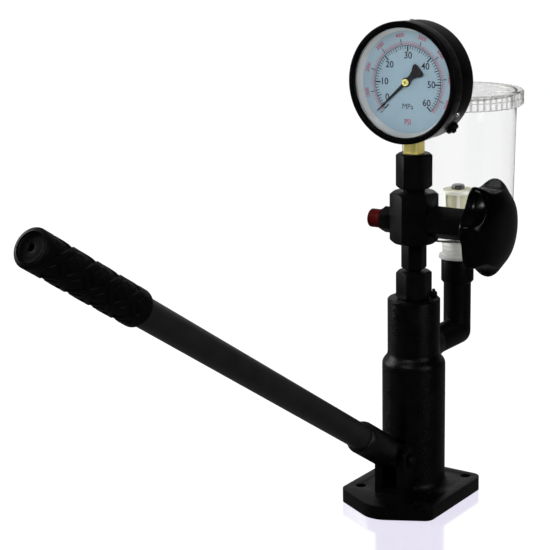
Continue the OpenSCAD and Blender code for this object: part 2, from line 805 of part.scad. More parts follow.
module valve_block() {
    well = spigot_l + touch_gap;
    color(paint_black) difference() {
        translate([0, 0, block_z]) hex_bar(block_af, block_h);
        translate([0, 0, block_z - overcut]) {
            cylinder(d = spigot_d + 2 * fit_gap, h = well + overcut);
            cylinder(d = gallery_d, h = block_h + 2 * overcut);
        }
        translate([0, 0, block_top - well]) cylinder(d = spigot_d + 2 * fit_gap, h = well + overcut);
        at_valve() {
            cylinder(d = cross_drill_d, h = block_af / 2);
            translate([0, 0, valve_seat_x]) cylinder(r = ball_chamber_r, h = block_af / 2);
            translate([0, 0, gland_in_x]) cylinder(d = gland_shank_d + 2 * fit_gap, h = block_af / 2);
        }
        at_outlet() {
            cylinder(d = cross_drill_d, h = block_af / 2);
            translate([0, 0, block_face - outlet_in])
                cylinder(d = outlet_d + 2 * fit_gap, h = outlet_in + overcut);
        }
    }
}

module gauge_adaptor() {
    floor = 8;
    well = adaptor_h - floor;
    color(paint_black) difference() {
        union() {
            translate([0, 0, block_top - spigot_l]) cylinder(d = spigot_d, h = spigot_l + overcut);
            translate([0, 0, block_top]) cylinder(d = adaptor_neck_d, h = adaptor_gap + overcut);
            translate([0, 0, adaptor_z]) rotate([0, 0, adaptor_turn]) hex_bar(adaptor_af, adaptor_h);
        }
        translate([0, 0, block_top - spigot_l - overcut])
            cylinder(d = gallery_d, h = shank_z - block_top + spigot_l);
        translate([0, 0, shank_z - well]) cylinder(d = shank_w + 2 * fit_gap, h = well + overcut);
    }
}

module gauge_stem() {
    screwed = adaptor_h - 10;
    block_high = gauge_z - bourdon_r + bourdon_t;
    inside = case_wall + 3;
    corner = 1.3;
    end_wall = 4;
    color(brass) difference() {
        union() {
            translate([0, 0, shank_z - screwed]) cylinder(d = shank_w, h = screwed + overcut);
            intersection() {
                translate([-shank_w / 2, -shank_w / 2, shank_z])
                    cube([shank_w, shank_w, shank_h + inside]);
                translate([0, 0, shank_z]) cylinder(d = shank_w * corner, h = shank_h + inside + overcut);
            }
            translate([-stem_block_w / 2, -stem_block_front, shank_z + shank_h])
                cube([stem_block_w, stem_block_front + stem_block_back, block_high - shank_z - shank_h]);
        }
        translate([0, 0, shank_z - screwed - overcut])
            cylinder(d = gallery_d, h = block_high - shank_z + screwed - end_wall);
    }
}

module gauge_case() {
    r = case_r;
    in = r - case_wall;
    edge = 4;
    hole_w = shank_w + 2 * touch_gap;
    reach = 2 * case_wall;
    turn = [r - edge, -case_back + edge];
    color(paint_black) difference() {
        at_gauge() rotate_extrude() polygon(concat(
            [[0, -case_back]], arc(turn, edge, -90, 0), [[r, case_front], [in, case_front]],
            arc(turn, edge - case_wall, 0, -90), [[0, -case_back + case_wall]]));
        translate([-hole_w / 2, -hole_w / 2, gauge_z - case_r - overcut])
            cube([hole_w, hole_w, reach + overcut]);
        at_gauge() rotate([0, 0, plug_angle]) translate([case_r - reach, 0, -plug_y]) rotate([0, 90, 0])
            cylinder(r = plug_neck_r + fit_gap, h = 2 * reach);
        at_gauge() for (a = screw_angles) rotate([0, 0, a])
            translate([case_r - reach, 0, screw_front]) rotate([0, 90, 0])
                cylinder(r = screw_neck_r + fit_gap, h = 2 * reach);
    }
}

module gauge_bezel() {
    r = case_r + bezel_wall;
    hole = r - bezel_lip;
    in = case_r + fit_gap;
    lip = bezel_front - bezel_t;
    edge = 1.6;
    hem = 0.4;
    bevel = 1.2;
    color(paint_black) at_gauge() rotate_extrude() polygon(concat(
        [[in, bezel_front - bezel_depth], [r - hem, bezel_front - bezel_depth]],
        arc([r - edge, bezel_front - edge], edge, 0, 90),
        [[hole + bevel, bezel_front], [hole, bezel_front - bevel], [hole, lip], [in, lip]]));
}

module gauge_glass() {
    color(clear) at_gauge() translate([0, 0, case_front]) cylinder(r = case_r - touch_gap, h = glass_t);
}

// Spacer between dial and glass, sloping in to the dial
module dial_ring() {
    mouth = case_r + bezel_wall - bezel_lip;
    color(white) at_gauge() rotate_extrude() polygon([[mouth - dial_ring_w, dial_front], [dial_r, dial_front],
        [dial_r, case_front - touch_gap], [mouth, case_front - touch_gap]]);
}

module gauge_dial() {
    color(dial_blue) at_gauge() translate([0, 0, dial_back]) ring(dial_r, 2.5, dial_t);
}

// Needle with a wide counterweight, drawn pointing along +X
module pointer_outline() {
    tip = 0.4;
    waist = 1.9;
    tail_near = 2.6;
    tail_far = 6.4;
    polygon([[pointer_l, tip], [0, waist], [-3, tail_near], [-pointer_tail, tail_far],
        [-pointer_tail, -tail_far], [-3, -tail_near], [0, -waist], [pointer_l, -tip]]);
}

module gauge_pointer() {
    color("black") at_gauge() rotate([0, 0, pointer_zero]) difference() {
        union() {
            translate([0, 0, pointer_back]) linear_extrude(pointer_t) pointer_outline();
            translate([0, 0, pointer_back - 0.4]) cylinder(r = hub_r, h = pointer_t + 1);
        }
        translate([0, 0, pointer_back - overcut]) cylinder(r = arbor_r + fit_gap, h = 4);
    }
}

// Outline of a toothed rim from one tooth number to another
function teeth(r, count, first, last) =
    let (pitch = 360 / count, root = pitch * 0.285, tip = pitch * 0.1)
    let (low = r - 1.1 * gear_module, high = r + 0.8 * gear_module)
    [for (i = [first : last]) each let (a = i * pitch)
        [for (p = [[low, -root], [high, -tip], [high, tip], [low, root]])
            [p[0] * cos(a + p[1]), p[0] * sin(a + p[1])]]];

module pointer_arbor() {
    arbor_front = pointer_back + pointer_t + 1.4;
    color(brass) at_gauge() {
        translate([0, 0, rear_plate]) cylinder(r = arbor_r, h = arbor_front - rear_plate);
        translate([0, 0, gear_back]) linear_extrude(gear_t)
            polygon(teeth(pinion_r, pinion_teeth, 0, pinion_teeth - 1));
        translate([0, 0, pointer_back + pointer_t + 0.6]) cylinder(r = 2.9, h = 1.2);
    }
}

// The sector hangs below the pinion, its middle tooth standing upright
module sector_gear() {
    first = -ceil((sector_sweep + 8) / 360 * sector_teeth);
    last = 2;
    rim = sector_r - 4;
    pitch = 360 / sector_teeth;
    mid = (first + last) / 2 * pitch;
    hub = 4;
    spoke_end = 2.5;
    tail_end = 2;
    tail_turn = sector_tail_angle - 90;
    color(brass) at_gauge() {
        translate([0, -sector_drop, gear_back]) rotate([0, 0, 90]) linear_extrude(gear_t) difference() {
            union() {
                polygon(concat(teeth(sector_r, sector_teeth, first, last),
                    arc([0, 0], rim, last * pitch, first * pitch, 12)));
                strut([0, 0], hub, [(rim + 1) * cos(mid), (rim + 1) * sin(mid)], spoke_end);
                strut([0, 0], hub, sector_tail * [cos(tail_turn), sin(tail_turn)], tail_end);
            }
            circle(arbor_r + run_gap);
        }
        translate([tail_pos[0], tail_pos[1], link_back])
            cylinder(r = link_pin_r, h = gear_back + gear_t / 2 - link_back);
    }
}

// The link turns on the sector's pin, and its own pin ends just in front of the tube's tip
module gauge_link() {
    pin_back = bourdon_front + touch_gap;
    color(steel) at_gauge() {
        translate([0, 0, link_back]) linear_extrude(link_t) difference() {
            strut(tail_pos, link_r, bourdon_tip, link_r);
            translate(tail_pos) circle(link_pin_r + run_gap);
        }
        translate([bourdon_tip[0], bourdon_tip[1], pin_back])
            cylinder(r = link_pin_r, h = link_back + link_t / 2 - pin_back);
    }
}

module bourdon_tube() {
    color(brass) at_gauge() translate([0, 0, bourdon_front - bourdon_w]) rotate([0, 0, bourdon_start])
        rotate_extrude(angle = bourdon_sweep)
            translate([bourdon_r - bourdon_t / 2, 0]) square([bourdon_t, bourdon_w]);
}

module movement_plate() {
    union() {
        strut([0, 4], 6, [0, -sector_drop - 1], 6);
        translate([-6, -case_r + case_wall + 6]) square([12, case_r - sector_drop - case_wall - 6]);
    }
}

module movement_frame() {
    pillar_r = 1.5;
    posts = [[-4, 7], [4, 7], [4.5, -sector_drop - 6]];
    color(brass) at_gauge() difference() {
        union() {
            translate([0, 0, rear_plate]) linear_extrude(plate_t) movement_plate();
            translate([0, 0, front_plate]) linear_extrude(plate_t) strut([0, 4], 6, [0, -sector_drop - 3], 7);
            for (p = posts) translate([p[0], p[1], rear_plate])
                cylinder(r = pillar_r, h = dial_back - rear_plate);
            translate([0, -sector_drop, rear_plate])
                cylinder(r = arbor_r, h = front_plate - rear_plate + plate_t);
        }
        translate([0, 0, rear_plate - overcut]) cylinder(r = arbor_r + run_gap, h = dial_back);
    }
}

module case_screws() {
    neck = 2.5;
    edge = screw_head_h / 2;
    color(steel) at_gauge() for (a = screw_angles) rotate([0, 0, a])
        translate([case_r, 0, screw_front]) rotate([0, 90, 0]) {
            translate([0, 0, -neck]) cylinder(r = screw_neck_r, h = neck + touch_gap);
            rotate_extrude() polygon([[0, touch_gap / 2], [screw_head_r, touch_gap / 2],
                [screw_head_r - edge, screw_head_h], [0, screw_head_h]]);
        }
}

module blowout_plug() {
    neck = 2.5;
    edge = 0.8;
    tip_r = 2.2;
    tip_h = 2;
    color(rubber_black) at_gauge() rotate([0, 0, plug_angle])
        translate([case_r, 0, -plug_y]) rotate([0, 90, 0]) {
            translate([0, 0, -neck]) cylinder(r = plug_neck_r, h = neck + 2 * touch_gap);
            rotate_extrude() polygon([[0, touch_gap], [plug_head_r, touch_gap],
                [plug_head_r - edge, plug_head_h], [tip_r, plug_head_h],
                [tip_r - edge / 2, plug_head_h + tip_h], [0, plug_head_h + tip_h]]);
        }
}

module valve_gland() {
    color(paint_black) difference() {
        at_valve() union() {
            translate([0, 0, gland_in_x + touch_gap])
                cylinder(d = gland_shank_d, h = block_face - gland_in_x);
            translate([0, 0, block_face]) rotate([0, 0, 30]) hex_bar(gland_af, gland_l);
        }
        at_valve() translate([0, 0, gland_in_x]) cylinder(d = spindle_d + 2 * run_gap, h = gland_end);
        at_valve() translate([0, 0, gland_end - packing_l])
            cylinder(r = packing_r + fit_gap, h = packing_l + overcut);
    }
}

module gland_packing() {
    color(white) at_valve() translate([0, 0, gland_end - packing_l])
        ring(packing_r, spindle_d / 2 + run_gap, packing_l - 2 * touch_gap);
}

module valve_spindle() {
    start = ball_x + ball_d / 2 + touch_gap;
    end = wheel_back + spindle_depth;
    color(steel) at_valve() translate([0, 0, start]) cylinder(d = spindle_d, h = end - start);
}

module valve_ball() {
    color(steel) at_valve() translate([0, 0, ball_x]) sphere(d = ball_d);
}

// Wheel section: hub, hollow back, rounded rim, domed face
module wheel_section() {
    edge = 1.8;
    rim_wall = 3.6;
    rim_in = finger_in - rim_wall;
    web = wheel_rim_back + wheel_hollow;
    hub = wheel_hub_d / 2;
    centre = wheel_rim_end + wheel_dome - dome_r;
    shoulder = acos((wheel_r - edge) / (dome_r - edge));
    polygon(concat([[0, wheel_back], [hub, wheel_back], [hub, web], [rim_in, web], [rim_in, wheel_rim_back]],
        arc([wheel_r - edge, wheel_rim_back + edge], edge, -90, 0, 4),
        arc([wheel_r - edge, centre + (dome_r - edge) * sin(shoulder)], edge, 0, shoulder, 4),
        arc([0, centre], dome_r, shoulder, 90, 8)));
}

// Finger grip that tapers both ways from the middle of the rim
module finger_grip() {
    middle = wheel_rim_back + wheel_rim / 2;
    back = middle - wheel_rim_back + overcut;
    front = wheel_rim_end + wheel_dome - middle;
    translate([finger_in + finger_r, 0, middle - back])
        cylinder(r1 = finger_r + back * tan(finger_draft), r2 = finger_r, h = back);
    translate([finger_in + finger_r, 0, middle])
        cylinder(r1 = finger_r, r2 = finger_r + front * tan(finger_draft), h = front);
}

module hand_wheel() {
    pitch = 360 / wheel_lobes;
    color(plastic_black) at_valve() difference() {
        rotate_extrude() wheel_section();
        for (i = [0 : wheel_lobes - 1]) rotate([0, 0, -90 - lobe_turn - (i + 0.5) * pitch]) finger_grip();
        translate([0, 0, wheel_back - overcut])
            cylinder(d = spindle_d + 2 * fit_gap, h = spindle_depth + overcut);
    }
}

module outlet_union() {
    end = outlet_face + outlet_thread_l;
    start = block_face - outlet_in + touch_gap;
    color(paint_black) difference() {
        at_outlet() union() {
            translate([0, 0, start]) cylinder(d = outlet_d, h = end - start - 1);
            translate([0, 0, end - 1]) cylinder(d1 = outlet_d, d2 = outlet_d - 2, h = 1);
            translate([0, 0, block_face]) rotate([0, 0, 30]) hex_bar(outlet_af, outlet_l);
        }
        at_outlet() translate([0, 0, start - overcut]) cylinder(d = gallery_d, h = end - start + 2 * overcut);
    }
}

module outlet_cap() {
    start = outlet_face + touch_gap;
    depth = outlet_thread_l;
    rim_l = 2.2;
    edge = 1.2;
    end = start + depth + cap_wall - touch_gap;
    in = outlet_d / 2 + fit_gap;
    color(red) at_outlet() rotate_extrude() polygon(concat(
        [[in, start], [cap_r + cap_rim, start], [cap_r + cap_rim, start + rim_l], [cap_r, start + rim_l]],
        arc([cap_r - edge, end - edge], edge, 0, 90, 4),
        [[0, end], [0, start + depth], [in, start + depth]]));
}

module feed_elbow() {
    r = pipe_d / 2;
    well = cup_spigot_l + touch_gap;
    color(paint_black) difference() {
        union() {
            translate([0, boss_y - feed_spigot_l + touch_gap, feed_z]) rotate([-90, 0, 0])
                cylinder(d = feed_spigot_d, h = feed_spigot_l + overcut);
            translate([0, boss_y, feed_z]) rotate([-90, 0, 0]) cylinder(r = r, h = cup_y - boss_y);
            at_cup() {
                translate([0, 0, feed_z]) sphere(r = r);
                translate([0, 0, feed_z]) cylinder(r = r, h = socket_z - feed_z + overcut);
                translate([0, 0, socket_z]) rotate_extrude() polygon([[0, 0], [r, 0], [socket_d / 2, 2.5],
                    [socket_d / 2, socket_top - socket_z], [0, socket_top - socket_z]]);
            }
        }
        translate([0, boss_y - feed_spigot_l, feed_z]) rotate([-90, 0, 0])
            cylinder(d = pipe_bore, h = cup_y - boss_y + feed_spigot_l);
        at_cup() translate([0, 0, feed_z]) cylinder(d = pipe_bore, h = socket_top);
        at_cup() translate([0, 0, socket_top - well])
            cylinder(d = cup_spigot_d + 2 * fit_gap, h = well + overcut);
    }
}

module cup_seal() {
    color(white) at_cup() translate([0, 0, socket_top])
        ring(washer_d / 2, cup_spigot_d / 2 + fit_gap, washer_t);
}

// Half section of the cup: spigot, neck, sloping floor, rounded edge and drafted wall
module cup_section() {
    slope = 3;
    out = cup_foot_r - cup_edge_r;
    in_edge = cup_edge_r - cup_wall;
    edge_z = cup_floor_z + slope + cup_edge_r;
    neck = cup_neck_d / 2;
    polygon(concat(
        [[cup_bore_r, cup_neck_z - cup_spigot_l], [cup_spigot_d / 2, cup_neck_z - cup_spigot_l],
            [cup_spigot_d / 2, cup_neck_z], [neck, cup_neck_z], [neck, cup_floor_z]],
        arc([out, edge_z], cup_edge_r, -84, 0),
        [[cup_r, cup_rim_z], [cup_r - cup_wall, cup_rim_z]],
        arc([out, edge_z], in_edge, 0, -84),
        [[filter_foot_r + touch_gap, cup_floor_z + cup_wall], [cup_bore_r, cup_floor_z + cup_wall]]));
}

module oil_cup() {
    color(clear) at_cup() rotate_extrude() cup_section();
}

module filter_body() {
    r = filter_d / 2;
    base_r = cup_bore_r - fit_gap;
    top_t = 3.5;
    rib_w = 3;
    rib_h = 1.4;
    core_r = r - 0.8;
    foot_h = 4;
    spigot_h = 6;
    top_r = filter_top_d / 2;
    top_edge = 0.7;
    body_h = filter_h - touch_gap - top_t;
    color(white) at_cup() difference() {
        union() {
            translate([0, 0, filter_z - cup_wall - spigot_h])
                cylinder(r = base_r, h = cup_wall + spigot_h + overcut);
            translate([0, 0, filter_z + touch_gap]) cylinder(r = filter_foot_r, h = foot_h);
            translate([0, 0, filter_z + touch_gap]) cylinder(r = core_r, h = body_h);
            for (a = [0 : 60 : 300]) rotate([0, 0, a]) translate([0, -rib_w / 2, filter_z + touch_gap])
                cube([core_r + rib_h, rib_w, body_h]);
            translate([0, 0, filter_top_z - top_t]) rotate_extrude() polygon([[0, 0], [top_r - top_edge, 0],
                [top_r, top_edge], [top_r, top_t - top_edge], [top_r - top_edge, top_t], [0, top_t]]);
        }
        translate([0, 0, filter_z - cup_wall - spigot_h - overcut])
            cylinder(d = gallery_d, h = cup_wall + spigot_h + foot_h);
        translate([0, 0, filter_top_z - filter_screw_l])
            cylinder(r = filter_screw_r + fit_gap, h = filter_screw_l + overcut);
    }
}

module filter_screw() {
    color(steel) at_cup() {
        translate([0, 0, filter_top_z - filter_screw_l + touch_gap])
            cylinder(r = filter_screw_r, h = filter_screw_l);
        translate([0, 0, filter_top_z]) hex_bar(filter_screw_af, filter_screw_h);
    }
}

module lid_seal() {
    color(white) at_cup() translate([0, 0, cup_rim_z]) ring(cup_r, cup_r - cup_wall, lid_seal_t);
}

module cup_lid() {
    core = lid_r - lid_rib_h;
    rib = 360 / lid_ribs;
    rib_share = 0.5;
    dome_edge = core - 3;
    low = lid_z + lid_t - lid_skirt;
    dome_r = (pow(dome_edge, 2) + pow(lid_dome, 2)) / (2 * lid_dome);
    spread = asin(dome_edge / dome_r);
    dome_z = lid_z + lid_t + lid_dome - dome_r;
    color(clear) at_cup() {
        rotate_extrude() polygon(concat([[lid_bore_r, low], [core, low], [core, lid_z + lid_t - 1.5]],
            arc([0, dome_z], dome_r, 90 - spread, 90), [[0, lid_z], [lid_bore_r, lid_z]]));
        translate([0, 0, low + 1]) linear_extrude(lid_skirt - 2.5) difference() {
            polygon([for (i = [0 : lid_ribs - 1]) each let (a = i * rib, h = rib * rib_share / 2)
                [for (p = [[core - 0.2, -h], [lid_r, -h * 0.6], [lid_r, h * 0.6], [core - 0.2, h]])
                    [p[0] * cos(a + p[1]), p[0] * sin(a + p[1])]]]);
            circle(lid_bore_r + 1);
        }
    }
}

pump_body();
pivot_pin();
pivot_clips();
lever_head();
lever_tube();
lever_grip();
tappet();
plunger();
plunger_spring();
pump_barrel();
delivery_union();
delivery_valve();
delivery_spring();
delivery_nipple();
vent_screw();
valve_block();
gauge_adaptor();
gauge_stem();
gauge_case();
gauge_bezel();
gauge_glass();
dial_ring();
gauge_dial();
gauge_pointer();
pointer_arbor();
sector_gear();
gauge_link();
bourdon_tube();
movement_frame();
case_screws();
blowout_plug();
valve_gland();
gland_packing();
valve_spindle();
valve_ball();
hand_wheel();
outlet_union();
outlet_cap();
feed_elbow();
cup_seal();
oil_cup();
filter_body();
filter_screw();
lid_seal();
cup_lid();
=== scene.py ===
import json
import math

import bpy
from mathutils import Matrix, Vector

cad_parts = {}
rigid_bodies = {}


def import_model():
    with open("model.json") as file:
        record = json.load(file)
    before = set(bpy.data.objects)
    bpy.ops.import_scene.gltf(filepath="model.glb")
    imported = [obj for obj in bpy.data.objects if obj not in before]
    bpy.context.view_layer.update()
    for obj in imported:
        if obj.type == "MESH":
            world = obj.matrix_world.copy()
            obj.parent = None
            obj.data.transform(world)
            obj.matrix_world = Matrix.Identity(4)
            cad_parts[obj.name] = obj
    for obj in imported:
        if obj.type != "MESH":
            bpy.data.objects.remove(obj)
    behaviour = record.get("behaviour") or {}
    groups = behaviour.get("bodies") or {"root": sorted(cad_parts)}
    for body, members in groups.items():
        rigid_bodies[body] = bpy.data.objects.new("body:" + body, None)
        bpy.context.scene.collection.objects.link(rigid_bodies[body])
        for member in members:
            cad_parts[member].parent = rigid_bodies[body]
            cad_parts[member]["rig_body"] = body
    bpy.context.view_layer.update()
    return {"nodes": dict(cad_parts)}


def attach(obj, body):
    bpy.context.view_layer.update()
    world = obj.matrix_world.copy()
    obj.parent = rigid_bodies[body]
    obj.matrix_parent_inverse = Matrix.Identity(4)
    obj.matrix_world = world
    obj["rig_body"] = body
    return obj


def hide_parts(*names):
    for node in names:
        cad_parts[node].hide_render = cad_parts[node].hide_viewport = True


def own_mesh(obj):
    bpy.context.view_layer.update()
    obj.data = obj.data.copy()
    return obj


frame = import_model()
nodes = frame["nodes"]
mm = 0.001
print("frame loaded,", len(nodes), "nodes")


# Camera at the photograph's place
cameraSettings = {
    "place": (673.7 * mm, -1164.3 * mm, 526.7 * mm),
    "azimuth": 30.055,      # degrees round the column
    "yaw": 5.096,           # turned away from the column, degrees
    "pitch": 13.618,        # looking down, degrees
    "roll": -1.101,
    "lens": 104.9,          # mm
    "sensor": 36,           # mm
    "clip": (0.05, 30),
}


def makeCamera(settings):
    look = math.radians(settings["azimuth"] + settings["yaw"])
    pitch = math.radians(settings["pitch"])
    roll = math.radians(settings["roll"])
    flat = math.cos(pitch)
    forward = Vector((-math.sin(look) * flat, math.cos(look) * flat, -math.sin(pitch)))
    aside = Vector((math.cos(look), math.sin(look), 0))
    above = aside.cross(forward)
    right = aside * math.cos(roll) + above * math.sin(roll)
    up = above * math.cos(roll) - aside * math.sin(roll)
    data = bpy.data.cameras.new("photoCamera")
    data.lens = settings["lens"]
    data.sensor_width = settings["sensor"]
    data.clip_start, data.clip_end = settings["clip"]
    camera = bpy.data.objects.new("photoCamera", data)
    bpy.context.scene.collection.objects.link(camera)
    turn = Matrix((right, up, -forward)).transposed().to_4x4()
    camera.matrix_world = Matrix.Translation(settings["place"]) @ turn
    bpy.context.scene.camera = camera


makeCamera(cameraSettings)
print("camera placed")


# Node helpers for the finishes
def newFinish(name):
    finish = bpy.data.materials.new(name)
    finish.use_nodes = True
    return finish, finish.node_tree, finish.node_tree.nodes["Principled BSDF"]


def wire(tree, source, outlet, target, inlet):
    tree.links.new(source.outputs[outlet], target.inputs[inlet])


def objectCoords(tree, stretch=None):
    coords = tree.nodes.new("ShaderNodeTexCoord").outputs["Object"]
    if stretch is None:
        return coords
    mapping = tree.nodes.new("ShaderNodeMapping")
    mapping.inputs["Scale"].default_value = stretch
    tree.links.new(coords, mapping.inputs["Vector"])
    return mapping.outputs["Vector"]


def noise(tree, coords, scale, detail=4.0, rough=0.55):
    node = tree.nodes.new("ShaderNodeTexNoise")
    node.inputs["Scale"].default_value = scale
    node.inputs["Detail"].default_value = detail
    node.inputs["Roughness"].default_value = rough
    tree.links.new(coords, node.inputs["Vector"])
    return node.outputs["Fac"]


def spread(tree, value, low, high, fromLow=0.3, fromHigh=0.7):
    node = tree.nodes.new("ShaderNodeMapRange")
    node.inputs["From Min"].default_value = fromLow
    node.inputs["From Max"].default_value = fromHigh
    node.inputs["To Min"].default_value = low
    node.inputs["To Max"].default_value = high
    tree.links.new(value, node.inputs["Value"])
    return node.outputs["Result"]


def maths(tree, operation, first, second):
    node = tree.nodes.new("ShaderNodeMath")
    node.operation = operation
    for inlet, value in zip(node.inputs, (first, second)):
        if isinstance(value, (int, float)):
            inlet.default_value = value
        else:
            tree.links.new(value, inlet)
    return node.outputs["Value"]


def blendColour(tree, share, dark, light):
    node = tree.nodes.new("ShaderNodeMix")
    node.data_type = "RGBA"
    for inlet, colour in (("A", dark), ("B", light)):
        if isinstance(colour, tuple):
            node.inputs[inlet].default_value = (*colour, 1)
        else:
            tree.links.new(colour, node.inputs[inlet])
    tree.links.new(share, node.inputs["Factor"])
    return node.outputs["Result"]


def bump(tree, height, strength, distance, before=None):
    node = tree.nodes.new("ShaderNodeBump")
    node.inputs["Strength"].default_value = strength
    node.inputs["Distance"].default_value = distance * mm
    tree.links.new(height, node.inputs["Height"])
    if before:
        tree.links.new(before, node.inputs["Normal"])
    return node.outputs["Normal"]


noiseDetail = {"patches": 5, "grain": 3, "lumps": 2, "haze": 3, "gauze": 1, "mould": 2}
grainDepth = 0.2        # mm


def solidFinish(name, look):
    finish, tree, shader = newFinish(name)
    coords = objectCoords(tree, look.get("stretch"))
    patches = noise(tree, coords, look["patchScale"], noiseDetail["patches"])
    grain = noise(tree, coords, look["grainScale"], noiseDetail["grain"])
    shade = spread(tree, patches, 0, 1)
    tree.links.new(blendColour(tree, shade, look["dark"], look["light"]), shader.inputs["Base Color"])
    tree.links.new(spread(tree, patches, *look["rough"]), shader.inputs["Roughness"])
    shader.inputs["Metallic"].default_value = look.get("metallic", 0)
    shader.inputs["Specular IOR Level"].default_value = look["gloss"]
    normal = bump(tree, grain, look["grainBump"], grainDepth)
    if "lumpScale" in look:
        lumps = noise(tree, objectCoords(tree), look["lumpScale"], noiseDetail["lumps"])
        normal = bump(tree, lumps, look["lumpBump"], look["lumpDepth"], normal)
    tree.links.new(normal, shader.inputs["Normal"])
    return finish


solidLooks = {
    "castBlack": {      # thick paint over a rough casting
        "dark": (0.0004, 0.0004, 0.0005), "light": (0.0022, 0.0022, 0.0024), "patchScale": 70,
        "grainScale": 900, "rough": (0.22, 0.36), "gloss": 0.08, "grainBump": 0.3,
        "lumpScale": 850, "lumpBump": 0.6, "lumpDepth": 0.5},
    "satinBlack": {
        "dark": (0.0014, 0.0014, 0.0015), "light": (0.0035, 0.0035, 0.0037), "patchScale": 90,
        "grainScale": 1400, "rough": (0.28, 0.4), "gloss": 0.055, "grainBump": 0.18},
    "headBlack": {
        "dark": (0.0026, 0.0026, 0.0028), "light": (0.006, 0.006, 0.0063), "patchScale": 110,
        "grainScale": 1100, "rough": (0.28, 0.4), "gloss": 0.12, "grainBump": 0.22},
    "gaugeBlack": {
        "dark": (0.0008, 0.0008, 0.0009), "light": (0.002, 0.002, 0.0021), "patchScale": 70,
        "grainScale": 1800, "rough": (0.26, 0.36), "gloss": 0.05, "grainBump": 0.15},
    "tubeBlack": {
        "dark": (0.009, 0.009, 0.0092), "light": (0.018, 0.0178, 0.0176), "patchScale": 45,
        "grainScale": 1100, "rough": (0.3, 0.42), "gloss": 0.13, "grainBump": 0.22},
    "gripRubber": {
        "dark": (0.0008, 0.0008, 0.0008), "light": (0.0024, 0.0024, 0.0025), "patchScale": 120,
        "grainScale": 1600, "rough": (0.42, 0.56), "gloss": 0.05, "grainBump": 0.25},
    "wheelPlastic": {
        "dark": (0.0004, 0.0004, 0.0005), "light": (0.0012, 0.0012, 0.0013), "patchScale": 60,
        "grainScale": 1500, "rough": (0.16, 0.24), "gloss": 0.07, "grainBump": 0.06},
    "redPlastic": {
        "dark": (0.03, 0.002, 0.002), "light": (0.07, 0.003, 0.003), "patchScale": 160, "grainScale": 900,
        "rough": (0.24, 0.36), "gloss": 0.025, "grainBump": 0.15},
    "whitePlastic": {
        "dark": (0.58, 0.57, 0.52), "light": (0.7, 0.69, 0.64), "patchScale": 50, "grainScale": 900,
        "rough": (0.4, 0.55), "gloss": 0.4, "grainBump": 0.1},
    "ringPlastic": {
        "dark": (0.47, 0.48, 0.48), "light": (0.58, 0.59, 0.59), "patchScale": 40, "grainScale": 900,
        "rough": (0.4, 0.5), "gloss": 0.4, "grainBump": 0.08},
    "darkSteel": {
        "dark": (0.06, 0.06, 0.063), "light": (0.2, 0.2, 0.205), "patchScale": 160, "grainScale": 1500,
        "rough": (0.26, 0.4), "gloss": 0.5, "metallic": 1.0, "grainBump": 0.15},
    "brightSteel": {
        "dark": (0.5, 0.5, 0.51), "light": (0.7, 0.7, 0.71), "patchScale": 140, "grainScale": 1500,
        "rough": (0.2, 0.34), "gloss": 0.5, "metallic": 1.0, "grainBump": 0.15},
    "brass": {          # drawn bar, streaked along its length
        "dark": (0.75, 0.62, 0.15), "light": (1, 0.88, 0.27), "patchScale": 9, "grainScale": 60,
        "stretch": (40, 40, 1.5), "rough": (0.3, 0.46), "gloss": 0.5, "metallic": 0.1, "grainBump": 0.1},
    "dialFace": {
        "dark": (0.26, 0.36, 0.44), "light": (0.31, 0.43, 0.51), "patchScale": 30, "grainScale": 1200,
        "rough": (0.5, 0.6), "gloss": 0.25, "grainBump": 0.04},
    "dialInk": {
        "dark": (0.004, 0.004, 0.005), "light": (0.008, 0.008, 0.01), "patchScale": 300,
        "grainScale": 1500, "rough": (0.5, 0.6), "gloss": 0.1, "grainBump": 0.04},
    "redInk": {
        "dark": (0.32, 0.02, 0.045), "light": (0.42, 0.04, 0.07), "patchScale": 300, "grainScale": 1500,
        "rough": (0.5, 0.6), "gloss": 0.1, "grainBump": 0.04},
    "pointerBlack": {
        "dark": (0.002, 0.002, 0.002), "light": (0.005, 0.005, 0.005), "patchScale": 90,
        "grainScale": 1500, "rough": (0.4, 0.5), "gloss": 0.1, "grainBump": 0.05},
}
finishes = {name: solidFinish(name, look) for name, look in solidLooks.items()}


def clearFinish(name, look):
    finish, tree, shader = newFinish(name)
    coords = objectCoords(tree, look.get("stretch"))
    haze = noise(tree, coords, look["hazeScale"], noiseDetail["haze"])
    tree.links.new(spread(tree, haze, *look["rough"]), shader.inputs["Roughness"])
    tint = blendColour(tree, spread(tree, haze, 0, 1), look["dark"], look["light"])
    tree.links.new(tint, shader.inputs["Base Color"])
    shader.inputs["Transmission Weight"].default_value = look["clear"]
    shader.inputs["IOR"].default_value = look["ior"]
    if "absorb" in look:      # greyer where the light crosses more of the wall
        wall = tree.nodes.new("ShaderNodeVolumeAbsorption")
        wall.inputs["Color"].default_value = (*look["wallGrey"], 1)
        wall.inputs["Density"].default_value = look["absorb"]
        wire(tree, wall, "Volume", tree.nodes["Material Output"], "Volume")
    return finish


clearLooks = {
    "gaugeGlass": {
        "dark": (0.97, 0.985, 0.985), "light": (0.99, 1, 1), "ior": 1.3, "clear": 1,
        "hazeScale": 60, "rough": (0.0, 0.008)},
    "clearPlastic": {
        "dark": (0.96, 0.965, 0.965), "light": (0.995, 0.995, 0.995), "ior": 1.17, "clear": 1,
        "hazeScale": 40, "rough": (0.02, 0.08), "stretch": (1, 1, 0.12),
        "absorb": 20, "wallGrey": (0.3, 0.3, 0.31)},
    "hazyPlastic": {
        "dark": (0.86, 0.86, 0.83), "light": (0.95, 0.95, 0.93), "ior": 1.3, "clear": 0.5,
        "hazeScale": 60, "rough": (0.3, 0.5)},
}
finishes.update({name: clearFinish(name, look) for name, look in clearLooks.items()})


